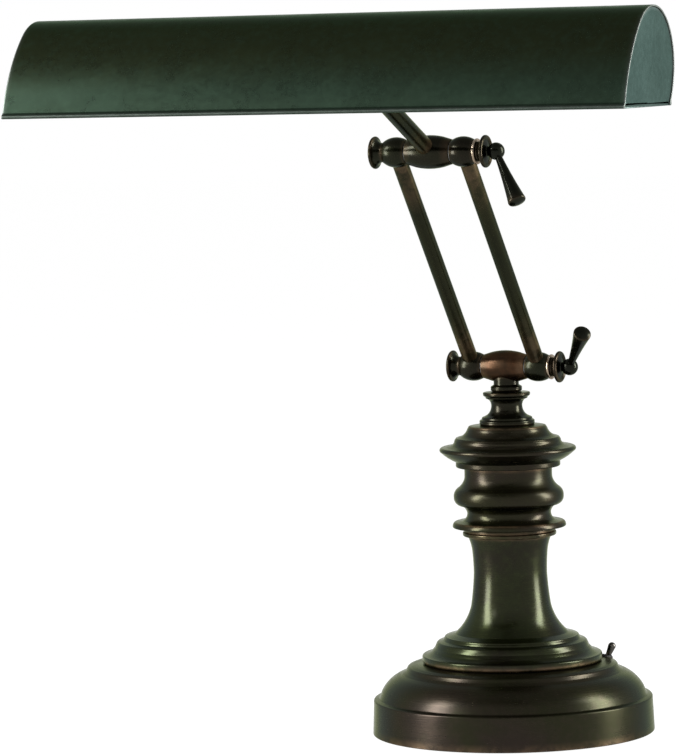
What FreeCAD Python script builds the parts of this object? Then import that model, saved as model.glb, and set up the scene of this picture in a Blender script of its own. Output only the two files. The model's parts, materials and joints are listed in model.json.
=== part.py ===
import FreeCAD, Part
import math
import os
import re
import Sketcher

# Piano lamp: a heavy round base with a turned standard, a pair of swinging arms
# and a long trough shade.  Millimetres, +Z up, origin at the centre of the base
# on the table.  X runs along the shade and both pivots, and -Y is the front.

vector = FreeCAD.Vector
doc = FreeCAD.newDocument("piano_lamp")

# Driving sizes: name and value in millimetres, degrees where the name says so
SIZES = [
    ("skirt_radius", 81.9), ("rim_lift", 0.4), ("shell_wall", 2.2), ("seat_plate", 2.4),
    ("felt_thickness", 2.0), ("felt_gap", 0.5), ("weight_gap", 1.0),
    ("weight_rim_height", 14.0), ("weight_step_radius", 44.0), ("weight_step_height", 14.0),
    ("weight_hub_radius", 20.0), ("cable_slot_width", 14.0), ("spot_depth", 0.5),
    ("pipe_radius", 4.8), ("pipe_bore", 3.4), ("pipe_clearance", 0.4), ("pipe_end_gap", 1.2),
    ("nut_recess_radius", 12.0), ("nut_recess_depth", 8.0), ("pipe_washer_radius", 10.0),
    ("pipe_washer_thickness", 1.2), ("pipe_nut_flats", 14.0), ("pipe_nut_height", 4.5),
    ("bushing_share", 0.55), ("bushing_flange_radius", 6.5), ("bushing_flange_thickness", 2.0),
    ("bushing_body_radius", 5.0), ("bushing_bore", 3.3), ("bushing_collar_radius", 6.0),
    ("bushing_collar_length", 3.0), ("bushing_slack", 0.8), ("seat_margin", 0.2),
    ("switch_turn_deg", 36.0), ("switch_lean_deg", 10.0), ("switch_thread_radius", 3.3),
    ("switch_lip_radius", 1.75), ("switch_mouth_radius", 2.75), ("switch_nut_radius", 3.8),
    ("switch_nut_height", 1.2), ("switch_thread_proud", 1.7), ("switch_stem", 4.6),
    ("switch_length", 13.0), ("switch_width", 6.0), ("switch_depth", 9.0),
    ("switch_well", 2.0), ("terminal_length", 4.0), ("terminal_width", 2.0),
    ("terminal_thickness", 0.6), ("terminal_offset", 4.0), ("bat_throw_deg", 14.0),
    ("bat_length", 12.0), ("bat_root_radius", 1.2), ("bat_tip_radius", 2.1),
    ("bat_ball_radius", 2.0), ("bat_lip_rise", 1.2), ("bat_tail_radius", 0.9),
    ("bat_tail_length", 2.6), ("bat_pivot_depth", 2.4),
    ("column_seat_radius", 50.5), ("column_bore", 17.5), ("column_roof", 3.0),
    ("foot_recess_radius", 42.0), ("foot_recess_height", 6.0), ("foot_recess_slope", 14.0),
    ("ring_radius", 26.4), ("knop_radius", 26.3), ("knop_bore", 20.0), ("knop_roof", 4.0),
    ("cap_seat_radius", 29.4), ("cap_bore", 19.0), ("cap_roof", 3.4), ("spool_seat_radius", 15.5),
    ("spool_bore", 6.9), ("spool_roof", 7.4), ("coupling_height", 6.6),
    ("coupling_grip", 4.6), ("thread_clearance", 0.05),
    ("spindle_radius", 4.2), ("spindle_bore", 2.6), ("running_clearance", 0.05),
    ("swivel_gap", 0.15), ("swivel_washer_thickness", 0.8), ("swivel_nut_height", 2.6),
    ("swivel_nut_radius", 6.4), ("bead_radius", 8.2), ("spindle_tail", 0.4),
    ("post_rise", 4.85), ("arm_length", 165.4), ("arm_lean_deg", 39.5),
    ("arm_tube_radius", 4.5), ("arm_tube_bore", 3.6), ("arm_offset", 20.4),
    ("tube_seat", 4.2), ("braze_clearance", 0.03), ("bolt_radius", 2.5),
    ("barrel_length", 26.6), ("barrel_end_radius", 6.9), ("barrel_bow", 2.5),
    ("post_seat", 5.6), ("friction_washer_thickness", 0.4), ("friction_washer_radius", 6.2),
    ("friction_washer_bore", 2.9), ("side_gap", 0.1), ("knuckle_length", 13.6),
    ("knuckle_inner_radius", 6.7), ("knuckle_outer_radius", 6.1), ("knuckle_bow", 2.1),
    ("nut_gap", 0.1), ("disc_neck_radius", 5.6), ("knob_neck", 3.3), ("hub_neck", 1.9),
    ("disc_neck_flare", 0.6), ("disc_neck_bow", 0.4), ("knob_dome", 0.9), ("knob_grip", 3.5),
    ("collar_radius", 6.9), ("collar_length", 1.5), ("collar_bow", 0.35),
    ("ball_radius", 4.85), ("ball_neck_radius", 2.6), ("ball_reach", 10.4), ("hub_grip", 4.0),
    ("hub_slack", 0.2), ("hub_boss_radius", 3.4), ("hub_boss_rise", 0.6), ("hub_boss_bow", 0.3),
    ("lever_lean_deg", 28.8), ("lower_lever_turn_deg", 44.4), ("upper_lever_turn_deg", 159.0),
    ("lever_seat", 2.6), ("lever_length", 33.0), ("lever_root_radius", 2.0),
    ("lever_end_radius", 5.1), ("lever_bow", 0.3), ("lever_edge", 0.9), ("lever_dome", 0.9),
    ("lever_edge_bow", 0.2),
    ("shade_arm_reach", 129.0), ("shade_arm_rise_deg", 25.0), ("shade_arm_radius", 4.75),
    ("shade_arm_bore", 3.6), ("shade_length", 355.6), ("shade_wall", 1.0),
    ("front_arc_radius", 89.15), ("top_arc_radius", 29.5), ("rear_arc_radius", 44.16),
    ("front_joint_deg", 132.9), ("rear_joint_deg", -10.1), ("top_arc_forward", 4.73),
    ("top_arc_below", 6.44), ("shade_mouth_below", 29.1), ("hem_radius", 1.1),
    ("cap_recess", 0.6), ("cap_wall", 1.0), ("cap_flange", 7.0), ("cap_fit", 0.05),
    ("saddle_radius", 9.0), ("saddle_outer_length", 5.0), ("saddle_inner_length", 5.2),
    ("locknut_flats", 14.0), ("locknut_height", 4.0),
    ("arm_hole_clearance", 0.3), ("hub_radius", 11.0), ("hub_half_length", 6.0),
    ("hub_arm_seat", 5.0), ("socket_radius", 16.4), ("socket_bore", 13.8),
    ("socket_length", 42.0), ("socket_floor", 5.0), ("contact_radius", 4.0),
    ("contact_height", 2.4), ("contact_strip_radius", 2.0), ("screw_shell_wall", 0.4),
    ("screw_shell_length", 28.0), ("socket_screw_radius", 1.5), ("socket_screw_head", 2.7),
    ("socket_screw_offset", 7.6), ("socket_screw_grip", 4.5), ("socket_head_height", 1.8),
    ("bulb_gap", 0.1), ("bulb_cap_radius", 13.0), ("bulb_cap_length", 22.9),
    ("bulb_cap_wall", 0.3), ("bulb_tip_radius", 4.6), ("bulb_cone_length", 3.6),
    ("bulb_neck_length", 4.0), ("bulb_radius", 15.9), ("bulb_shoulder", 14.0),
    ("bulb_shoulder_bow", 0.8), ("bulb_body_length", 87.0), ("bulb_end_round", 4.0),
    ("bulb_end_rise", 0.8), ("glass_wall", 0.8),
]

# Turned outlines, from the first point of each piece on: name of the moulding,
# its change of radius, its rise and how far its arc bows away from the axis
BASE_MOVES = [
    ("skirt", -0.8, 19.3, 0), ("skirt_edge", -1.0, 1.0, 0.29), ("ledge", -2.2, 0.6, 0),
    ("dome_foot", -0.5, 1.1, 0), ("dome", -13.4, 13.1, 2.3), ("step", -1.8, 1.3, 0),
    ("shoulder", -0.9, 1.5, 0), ("shoulder_round", -1.7, 1.4, 0.35),
    ("shoulder_top", -3.1, 0.9, 0.15), ("seat_slope", -3.5, 0.6, 0),
]
COLUMN_MOVES = [
    ("lip_under", 1.8, 1.6, 0.4), ("lip_face", 0, 2.2, 0), ("lip_top", -0.9, 1.0, 0.3),
    ("flare", -4.8, 2.1, -0.4), ("band", -1.8, 2.1, 0.1), ("band_face", -1.0, 2.4, 0.1),
    ("band_round", -1.6, 1.2, 0.3), ("band_top", -2.3, 0.7, 0), ("terrace", -0.8, 1.5, 0.1),
    ("terrace_round", -1.0, 0.8, 0.3), ("terrace_top", -5.2, 1.5, 0), ("bell", -9.7, 16.1, -1.5),
    ("waist_low", -1.9, 18.8, -0.25), ("waist_high", 0.6, 13.0, -0.15),
    ("capital", 2.4, 8.7, -0.35),
]
RING_MOVES = [("low", 0.7, 1.2, 0.3), ("high", -0.6, 1.3, 0.35)]
KNOP_MOVES = [
    ("neck", 0, 2.5, 0), ("flange_under", 5.6, 0, 0), ("flange_low", 1.0, 1.1, 0.45),
    ("flange_high", -1.3, 2.2, 0.3), ("flange_top", -4.6, 0.7, -0.1),
    ("cove_low", -2.7, 4.4, -0.8), ("cove_high", 3.3, 4.3, -0.7), ("bulge_low", 4.3, 4.8, 1.3),
    ("bulge_high", -2.7, 5.7, 0.9), ("throat", -3.7, 5.5, -0.6), ("throat_top", 0.1, 6.4, -0.15),
]
CAP_MOVES = [
    ("collar_under", 0.9, 1.0, 0.3), ("collar_face", 0, 2.2, 0), ("bowl", 8.6, 5.7, 0.45),
    ("rim_under", 0.6, 1.7, 0.35), ("rim_top", -1.3, 1.0, 0.2), ("rim_slope", -5.2, 1.0, -0.2),
    ("tier_cove", -2.0, 2.0, -0.25), ("tier_face", -0.7, 1.8, 0.2), ("tier_round", -1.0, 0.8, 0.2),
    ("tier_top", -3.1, 1.1, -0.1), ("crown_cove", -2.7, 3.1, -0.25),
    ("crown_face", -0.8, 1.6, 0.1), ("crown_round", -0.8, 0.8, 0.15), ("crown_top", -5.6, 0.5, 0),
]
SPOOL_MOVES = [
    ("foot_low", 0.4, 1.6, 0.3), ("foot_high", -0.6, 1.4, 0.35), ("foot_step", -0.7, 0.5, -0.1),
    ("ring_round", -0.6, 1.1, 0.3), ("ring_top", -2.0, 0.9, 0), ("waist_low", -2.85, 4.3, -0.55),
    ("waist_high", 0.85, 4.4, -0.5), ("neck_flare", 1.7, 1.0, -0.1), ("fillet", 0.5, 0.9, 0.2),
    ("disc_under", 1.0, 0.7, 0), ("disc_low", 0.4, 1.1, 0.2), ("disc_high", -0.4, 1.0, 0.25),
    ("disc_top", -4.6, 0.4, 0),
]
BEAD_MOVES = [("low", 0.8, 1.6, 0.4), ("high", -0.7, 1.6, 0.4), ("top", -1.0, 0.6, 0)]

# The flared end disc of each pivot, outwards along the axis: run, rise and bow
FLARE_MOVES = [
    ("flare", 1.6, 2.7, -0.35), ("rim", 1.7, -0.4, 0.35),
    ("rim_face", 0.2, -0.9, 0), ("dish", -0.8, -0.9, 0),
]

# Spreadsheets: the driving sizes, and the places worked out from them
sizes = doc.addObject("Spreadsheet::Sheet", "Sizes")
places = doc.addObject("Spreadsheet::Sheet", "Places")
size_names = set()
place_names = set()


def add_size(name, value):
    """Put one plain number into the sheet of sizes under its name."""
    row = len(size_names) + 1
    sizes.set("A%d" % row, name.replace("_", " "))
    sizes.set("B%d" % row, str(value))
    sizes.setAlias("B%d" % row, name)
    size_names.add(name)


def formula(text):
    """Turn plain names into references to the two sheets."""
    def refer(match):
        word = match.group(0)
        if word in size_names:
            return "Sizes." + word
        if word in place_names:
            return "Places." + word
        return word
    return re.sub(r"[a-z][a-z0-9_]*", refer, text)


def add_place(name, text):
    """Put one worked-out value into the sheet of places, and give its name back."""
    row = len(place_names) + 1
    places.set("A%d" % row, name.replace("_", " "))
    places.set("B%d" % row, "=" + formula(text).replace("Places.", ""))
    places.setAlias("B%d" % row, name)
    place_names.add(name)
    return name


def value(name):
    """Read a value back from whichever sheet holds it."""
    return float((sizes if name in size_names else places).get(name))


def bind(item, target, text):
    """Tie one property of an object to the sheets."""
    item.setExpression(target, formula(text))


def put(item, x="0", y="0", z="0"):
    """Tie the position of an object to the sheets."""
    bind(item, "Placement.Base.x", x)
    bind(item, "Placement.Base.y", y)
    bind(item, "Placement.Base.z", z)


AXES = {"x": "1; 0; 0", "y": "0; 1; 0", "z": "0; 0; 1"}


def stand(item, place, *turns):
    """Tie place and turns of an object; the last turn listed is made first."""
    rotations = ["create(<<rotation>>; create(<<vector>>; %s); (%s) * 1deg)" % (AXES[axis], angle)
                 for axis, angle in turns]
    spot = "create(<<vector>>; %s; %s; %s)" % place
    bind(item, "Placement", "create(<<placement>>; %s; %s)" % (spot, " * ".join(rotations)))


def name_moves(piece, moves):
    """Store the three numbers of every moulding; zero ones are left out."""
    for name, out, up, bow in moves:
        for word, number in (("out", out), ("up", up), ("bow", bow)):
            if number:
                add_size("%s_%s_%s" % (piece, name, word), number)


for size_name, number in SIZES:
    add_size(size_name, number)
for piece, moves in (("base", BASE_MOVES), ("column", COLUMN_MOVES), ("ring", RING_MOVES),
                     ("knop", KNOP_MOVES), ("cap", CAP_MOVES), ("spool", SPOOL_MOVES),
                     ("bead", BEAD_MOVES), ("disc", FLARE_MOVES)):
    name_moves(piece, moves)
doc.recompute()


class Outline:
    """A closed outline of lines and arcs whose corners are cells of the sheet.

    The two coordinates are called across and along; for a piece turned about
    Z they are radius and height, for one turned about X place and radius.
    """

    def __init__(self, piece, across, along):
        self.piece = piece
        self.count = 0
        self.corners = [self.corner(across, along)]
        self.arcs = []
        self.after = {}

    def corner(self, across, along):
        self.count += 1
        return (add_place("%s_a%d" % (self.piece, self.count), across),
                add_place("%s_b%d" % (self.piece, self.count), along))

    def line(self, across, along):
        self.corners.append(self.corner(across, along))
        self.arcs.append(None)

    def arc(self, across, along, bow):
        """An arc to the next corner, bowed to the right of the way there."""
        start = self.corners[-1]
        end = self.corner(across, along)
        chord = "((%s - %s) ^ 2 + (%s - %s) ^ 2)" % (end[0], start[0], end[1], start[1])
        radius = add_place("%s_c%d" % (self.piece, self.count),
                           "abs(%s / (8 * (%s)) + (%s) / 2)" % (chord, bow, bow))
        side = add_place("%s_d%d" % (self.piece, self.count), bow)
        self.corners.append(end)
        self.arcs.append((radius, side, None))

    def round(self, across, along, radius, side):
        """An arc to the next corner with a given radius; side 1 bows right."""
        self.corners.append(self.corner(across, along))
        self.arcs.append((add_place("%s_c%d" % (self.piece, self.count), radius), None, side))

    def dome(self, rise, axis="z"):
        """An arc to the axis of turning that meets it squarely."""
        across, along = self.corners[-1]
        width = across if axis == "z" else along
        radius = "(%s ^ 2 + (%s) ^ 2) / (2 * (%s))" % (width, rise, rise)
        if axis == "z":
            self.round("0", "%s + %s" % (along, rise), radius, 1)
        else:
            self.round("%s + %s" % (across, rise), "0", radius, -1)

    def moves(self, piece, moves, axis="z"):
        """The mouldings of a table, each from where the last one ended."""
        for name, out, up, bow in moves:
            last = self.corners[-1]
            across = last[0] + (" + %s_%s_out" % (piece, name) if out else "")
            along = last[1] + (" + %s_%s_up" % (piece, name) if up else "")
            if bow:
                sign = "" if axis == "z" else "-"
                self.arc(across, along, "%s%s_%s_bow" % (sign, piece, name))
            else:
                self.line(across, along)
            self.after[name] = self.corners[-1]

    def geometry(self):
        """The edges at their true places, and how the ends of each are numbered."""
        points = [vector(value(a), value(b), 0) for a, b in self.corners]
        edges = []
        ends = []
        for index, start in enumerate(points):
            end = points[(index + 1) % len(points)]
            bend = self.arcs[index] if index < len(self.arcs) else None
            if bend is None:
                edges.append(Part.LineSegment(start, end))
                ends.append((1, 2))
                continue
            radius = value(bend[0])
            chord = end - start
            right = vector(chord.y, -chord.x, 0).normalize()
            if bend[1] is not None:
                side = 1 if value(bend[1]) > 0 else -1
            else:
                side = bend[2]
            drop = math.sqrt(max(radius ** 2 - chord.Length ** 2 / 4, 0))
            centre = (start + end) / 2 - right * (side * drop)
            first, last = (end, start) if side < 0 else (start, end)
            circle = Part.Circle(centre, vector(0, 0, 1), radius)
            edges.append(Part.ArcOfCircle(circle, circle.parameter(first), circle.parameter(last)))
            ends.append((2, 1) if side < 0 else (1, 2))
        return edges, ends

    def sketch(self, body, plane):
        """Draw the outline on a plane of the body, every corner tied to its cell."""
        places.recompute()
        drawing = new_sketch(body, plane, self.piece + "_outline")
        edges, ends = self.geometry()
        drawing.addGeometry(edges, False)
        rules = []
        names = []
        for index in range(len(edges)):
            after = (index + 1) % len(edges)
            rules.append(Sketcher.Constraint("Coincident", index, ends[index][1],
                                             after, ends[after][0]))
            names.append(None)
        for index, (across, along) in enumerate(self.corners):
            end = ends[index][0]
            rules.append(Sketcher.Constraint("DistanceX", -1, 1, index, end, value(across)))
            names.append(across)
            rules.append(Sketcher.Constraint("DistanceY", -1, 1, index, end, value(along)))
            names.append(along)
        for index, bend in enumerate(self.arcs):
            if bend is not None:
                rules.append(Sketcher.Constraint("Radius", index, value(bend[0])))
                names.append(bend[0])
        drawing.addConstraint(rules)
        for index, name in enumerate(names):
            if name is not None:
                drawing.renameConstraint(index, "c%d" % index)
                bind(drawing, "Constraints.c%d" % index, name)
        return drawing


def new_body(name):
    """An empty body that carries the name of its sub-part."""
    body = doc.addObject("PartDesign::Body", name)
    body.Label = name
    return body


def new_sketch(body, plane, name):
    """An empty sketch on one of the body's own origin planes."""
    drawing = body.newObject("Sketcher::SketchObject", name)
    support = [item for item in body.Origin.OriginFeatures if item.Role == plane][0]
    drawing.AttachmentSupport = [(support, "")]
    drawing.MapMode = "FlatFace"
    return drawing


def revolve(body, drawing, axis):
    """A full turn of a sketch about its own vertical or horizontal axis."""
    solid = body.newObject("PartDesign::Revolution", drawing.Name + "_turned")
    solid.Profile = drawing
    solid.ReferenceAxis = (drawing, [axis])
    solid.Angle = 360
    return solid


def turned_z(name, outline):
    """A piece turned about its upright axis."""
    body = new_body(name)
    revolve(body, outline.sketch(body, "XZ_Plane"), "V_Axis")
    return body


def turned_x(name, outline):
    """A piece turned about the X axis."""
    body = new_body(name)
    revolve(body, outline.sketch(body, "XZ_Plane"), "H_Axis")
    return body


def cylinder(name, radius, height, start="0", bore=None):
    """A plain rod, disc, washer or tube along Z from its start height."""
    body = new_body(name)
    drawing = new_sketch(body, "XY_Plane", name + "_circles")
    for index, size in enumerate([radius] + ([bore] if bore else [])):
        drawing.addGeometry(Part.Circle(vector(0, 0, 0), vector(0, 0, 1), 5.0 - index), False)
        drawing.addConstraint(Sketcher.Constraint("Coincident", index, 3, -1, 1))
        rule = drawing.addConstraint(Sketcher.Constraint("Radius", index, 5.0 - index))
        drawing.renameConstraint(rule, "r%d" % index)
        bind(drawing, "Constraints.r%d" % index, size)
    bind(drawing, "AttachmentOffset.Base.z", start)
    pad = body.newObject("PartDesign::Pad", name + "_pad")
    pad.Profile = drawing
    bind(pad, "Length", height)
    return body


def hexagon(name, flats, height, bore, start="0"):
    """A hexagon nut along Z with a round bore."""
    prism = doc.addObject("Part::Prism", name + "_prism")
    prism.Polygon = 6
    bind(prism, "Circumradius", "(%s) / sqrt(3)" % flats)
    bind(prism, "Height", height)
    put(prism, z=start)
    hole = cylinder(name + "_bore", bore, height, start)
    return cut(name, prism, [hole])


def block(name, length, width, height, x, y, z):
    """A plain block with its low corner at the given place."""
    box = doc.addObject("Part::Box", name)
    bind(box, "Length", length)
    bind(box, "Width", width)
    bind(box, "Height", height)
    put(box, x, y, z)
    return box


def cut(name, base, tools):
    """The base with every tool taken away, one after another."""
    result = base
    for index, tool in enumerate(tools):
        last = index == len(tools) - 1
        step = doc.addObject("Part::Cut", name if last else "%s_cut%d" % (name, index))
        step.Base = result
        step.Tool = tool
        result = step
    result.Label = name
    return result


def join(name, shapes):
    """Solids of one piece joined into one."""
    whole = doc.addObject("Part::MultiFuse", name)
    whole.Shapes = shapes
    whole.Label = name
    return whole


def group(name, shapes):
    """Separate solids that share one node."""
    whole = doc.addObject("Part::Compound", name)
    whole.Links = shapes
    whole.Label = name
    return whole


def mirrored(name, source):
    """The other-handed twin of a piece, across the middle of the lamp."""
    twin = doc.addObject("Part::Mirroring", name)
    twin.Source = source
    twin.Base = vector(0, 0, 0)
    twin.Normal = vector(1, 0, 0)
    twin.Label = name
    return twin


parts = {}


def keep(item):
    """Count an object as a finished sub-part."""
    parts[item.Label] = item
    return item


# Base: spun shell, cast weight and felt
add_place("hidden_hole", "pipe_radius + pipe_clearance")
shell = Outline("base", "skirt_radius", "rim_lift")
shell.moves("base", BASE_MOVES)
add_place("base_top", shell.after["seat_slope"][1])
add_place("plate_under", "base_top - seat_plate")
shell.line("hidden_hole", "base_top")
shell.line("hidden_hole", "plate_under")
shell.line(shell.after["shoulder_round"][0] + " - shell_wall", "plate_under")
for moulding in ("step", "dome"):
    across, along = shell.after[moulding]
    shell.line(across + " - shell_wall", along + " - shell_wall")
across, along = shell.after["dome_foot"]
shell.arc(across + " - shell_wall", along + " - shell_wall", "-base_dome_bow")
across, along = shell.after["skirt"]
shell.line(across + " - shell_wall", along + " - shell_wall")
shell.line("skirt_radius - shell_wall", "rim_lift")
shell_turning = turned_z("shell_turning", shell)

add_place("weight_radius", "skirt_radius + base_skirt_out - shell_wall - weight_gap")
add_place("rim_top", "felt_thickness + weight_rim_height")
add_place("recess_top", "felt_thickness + nut_recess_depth")
weight = Outline("weight", "weight_radius", "felt_thickness")
weight.line("weight_radius", "rim_top")
weight.line("weight_step_radius", "rim_top")
weight.line("weight_step_radius", "rim_top + weight_step_height")
weight.line("weight_hub_radius", "rim_top + weight_step_height")
weight.line("weight_hub_radius", "plate_under")
weight.line("hidden_hole", "plate_under")
weight.line("hidden_hole", "recess_top")
weight.line("nut_recess_radius", "recess_top")
weight.line("nut_recess_radius", "felt_thickness")
weight_turning = turned_z("weight_turning", weight)
cable_slot = block("cable_slot", "cable_slot_width", "weight_radius", "weight_rim_height",
                   "-cable_slot_width / 2", "weight_step_radius", "felt_thickness")
keep(cut("base_weight", weight_turning, [cable_slot]))
keep(cylinder("base_felt", "skirt_radius - shell_wall - felt_gap", "felt_thickness"))

# Threaded pipe that holds the stack together, with its nut and washer below
add_place("washer_under", "recess_top - pipe_washer_thickness")
add_place("nut_under", "washer_under - pipe_nut_height")
keep(cylinder("pipe_washer", "pipe_washer_radius", "pipe_washer_thickness",
              "washer_under", "pipe_radius + thread_clearance"))
keep(hexagon("pipe_nut", "pipe_nut_flats", "pipe_nut_height",
             "pipe_radius + thread_clearance", "nut_under"))

# Cord bushing in a flat seat at the rear of the skirt, its length along Y
add_place("bushing_level", "rim_lift + base_skirt_up * bushing_share")
add_place("bushing_face", "skirt_radius + base_skirt_out * bushing_share - spot_depth")
add_place("bushing_depth", "shell_wall + bushing_slack")
REAR = ("0", "bushing_face", "bushing_level")
bushing_lengths = [
    cylinder("bushing_flange", "bushing_flange_radius", "bushing_flange_thickness"),
    cylinder("bushing_barrel", "bushing_body_radius", "bushing_depth", "-bushing_depth"),
    cylinder("bushing_collar", "bushing_collar_radius", "bushing_collar_length",
             "-bushing_depth - bushing_collar_length"),
]
bushing_way = cylinder("bushing_way", "bushing_bore",
                       "bushing_flange_thickness + bushing_depth + bushing_collar_length",
                       "-bushing_depth - bushing_collar_length")
bushing = cut("cord_bushing", join("bushing_lengths", bushing_lengths), [bushing_way])
bushing_hole = cylinder("bushing_hole", "bushing_body_radius + thread_clearance",
                        "2 * bushing_depth", "-bushing_depth")
bushing_spot = cylinder("bushing_spot", "bushing_flange_radius + seat_margin", "bushing_depth")
for item in (bushing, bushing_hole, bushing_spot):
    stand(item, REAR, ("x", "-90"))
keep(bushing)

# Toggle switch on the shoulder: its own axis leans outwards
add_place("switch_reach", shell.after["shoulder_top"][0])
add_place("switch_level", shell.after["shoulder_top"][1] + " - spot_depth")
add_place("switch_floor", "-switch_stem - switch_depth")
add_place("bat_pivot", "-bat_pivot_depth")
SWITCH = ("switch_reach * cos(switch_turn_deg * 1deg)",
          "switch_reach * sin(switch_turn_deg * 1deg)", "switch_level")
switch_turns = (("z", "switch_turn_deg"), ("y", "switch_lean_deg"))
add_place("ball_seat", "bat_ball_radius + running_clearance")
neck = Outline("switch_neck", "switch_thread_radius", "-switch_stem")
neck.line("switch_thread_radius", "switch_thread_proud")
neck.line("switch_mouth_radius", "switch_thread_proud")
neck.line("switch_lip_radius", "bat_pivot + bat_lip_rise")
neck.line("ball_seat", "bat_pivot + bat_lip_rise")
neck.line("ball_seat", "-switch_stem")
switch_block = block("switch_block", "switch_width", "switch_length", "switch_depth",
                     "-switch_width / 2", "-switch_length / 2", "switch_floor")
switch_well = cylinder("switch_well", "ball_seat", "switch_well", "-switch_stem - switch_well")
switch_case = cut("switch_case", switch_block, [switch_well])
switch = join("switch_body", [turned_z("switch_neck", neck), switch_case])
nut = cylinder("switch_nut", "switch_nut_radius", "switch_nut_height", "0",
               "switch_thread_radius + thread_clearance")
blades = [
    block("terminal_%d" % side, "terminal_thickness", "terminal_width", "terminal_length",
          "-terminal_thickness / 2", "%d * terminal_offset - terminal_width / 2" % side,
          "switch_floor - terminal_length")
    for side in (-1, 0, 1)
]
terminals = group("switch_terminals", blades)
switch_hole = cylinder("switch_hole", "switch_thread_radius + thread_clearance",
                       "2 * switch_stem", "-switch_stem")
switch_spot = cylinder("switch_spot", "switch_nut_radius + seat_margin", "switch_stem")
for item in (switch, nut, terminals, switch_hole, switch_spot):
    stand(item, SWITCH, *switch_turns)
for item in (switch, nut, terminals):
    keep(item)
keep(cut("base_shell", shell_turning, [bushing_hole, bushing_spot, switch_hole, switch_spot]))

add_place("ball_half", "sqrt(bat_ball_radius ^ 2 - bat_tail_radius ^ 2)")
add_place("ball_top", "sqrt(bat_ball_radius ^ 2 - bat_root_radius ^ 2)")
bat = Outline("bat", "0", "-bat_tail_length")
bat.line("bat_tail_radius", "-bat_tail_length")
bat.line("bat_tail_radius", "-ball_half")
bat.round("bat_root_radius", "ball_top", "bat_ball_radius", 1)
bat.line("bat_tip_radius", "bat_length - bat_tip_radius")
bat.round("0", "bat_length", "bat_tip_radius", 1)
toggle = turned_z("toggle_lever", bat)
add_place("bat_reach", "switch_reach + bat_pivot * sin(switch_lean_deg * 1deg)")
add_place("bat_level", "switch_level + bat_pivot * cos(switch_lean_deg * 1deg)")
stand(toggle, ("bat_reach * cos(switch_turn_deg * 1deg)",
               "bat_reach * sin(switch_turn_deg * 1deg)", "bat_level"),
      ("z", "switch_turn_deg"), ("y", "switch_lean_deg + bat_throw_deg"))
keep(toggle)

# Standard: column, ring, knop, cap and spool, each sitting on the one below
column = Outline("column", "column_seat_radius", "base_top")
column.moves("column", COLUMN_MOVES)
add_place("column_top", column.after["capital"][1])
column.line("hidden_hole", "column_top")
column.line("hidden_hole", "column_top - column_roof")
column.line("column_bore", "column_top - column_roof")
column.line("column_bore", "base_top + foot_recess_height + foot_recess_slope")
column.line("foot_recess_radius", "base_top + foot_recess_height")
column.line("foot_recess_radius", "base_top")
keep(turned_z("column", column))

ring = Outline("ring", "ring_radius", "column_top")
ring.moves("ring", RING_MOVES)
add_place("ring_top", ring.after["high"][1])
ring.line("hidden_hole", "ring_top")
ring.line("hidden_hole", "column_top")
keep(turned_z("column_ring", ring))

knop = Outline("knop", "knop_radius", "ring_top")
knop.moves("knop", KNOP_MOVES)
add_place("knop_top", knop.after["throat_top"][1])
knop.line("hidden_hole", "knop_top")
knop.line("hidden_hole", "knop_top - knop_roof")
knop.line("knop_bore", "knop_top - knop_roof")
knop.line("knop_bore", "ring_top")
keep(turned_z("knop", knop))

cap = Outline("cap", "cap_seat_radius", "knop_top")
cap.moves("cap", CAP_MOVES)
add_place("cap_top", cap.after["crown_top"][1])
cap.line("hidden_hole", "cap_top")
cap.line("hidden_hole", "cap_top - cap_roof")
cap.line("cap_bore", "cap_top - cap_roof")
cap.line("cap_bore", "knop_top")
keep(turned_z("vase_cap", cap))

spool = Outline("spool", "spool_seat_radius", "cap_top")
spool.moves("spool", SPOOL_MOVES)
add_place("spool_top", spool.after["disc_top"][1])
add_place("roof_under", "spool_top - spool_roof")
add_place("spindle_hole", "spindle_radius + running_clearance")
spool.line("spindle_hole", "spool_top")
spool.line("spindle_hole", "roof_under")
spool.line("spool_bore", "roof_under")
spool.line("spool_bore", "cap_top")
keep(turned_z("neck_spool", spool))
add_place("pipe_start", "felt_thickness + pipe_end_gap")
keep(cylinder("threaded_pipe", "pipe_radius", "cap_top + coupling_grip - pipe_start",
              "pipe_start", "pipe_bore"))
keep(cylinder("pipe_coupling", "spool_bore - thread_clearance", "coupling_height",
              "cap_top", "pipe_radius + thread_clearance"))

# Swivel: post with its spindle through the spool, washer and nut inside
add_place("swivel_washer_under", "roof_under - swivel_washer_thickness")
add_place("swivel_nut_under", "swivel_washer_under - swivel_nut_height")
add_place("spindle_end", "swivel_nut_under - spindle_tail")
add_place("bead_under", "spool_top + swivel_gap")
post = Outline("post", "spindle_bore", "spindle_end")
post.line("spindle_radius", "spindle_end")
post.line("spindle_radius", "bead_under")
post.line("bead_radius", "bead_under")
post.moves("bead", BEAD_MOVES)
add_place("post_radius", post.after["top"][0])
add_place("post_top", post.after["top"][1] + " + post_rise")
add_place("lower_axis_height", "post_top + post_seat")
post.line("post_radius", "post_top")
post.line("spindle_bore", "post_top")
keep(turned_z("swivel_post", post))
keep(cylinder("swivel_washer", "swivel_nut_radius", "swivel_washer_thickness",
              "swivel_washer_under", "spindle_radius + thread_clearance"))
keep(cylinder("swivel_nut", "swivel_nut_radius", "swivel_nut_height",
              "swivel_nut_under", "spindle_radius + thread_clearance"))

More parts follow.
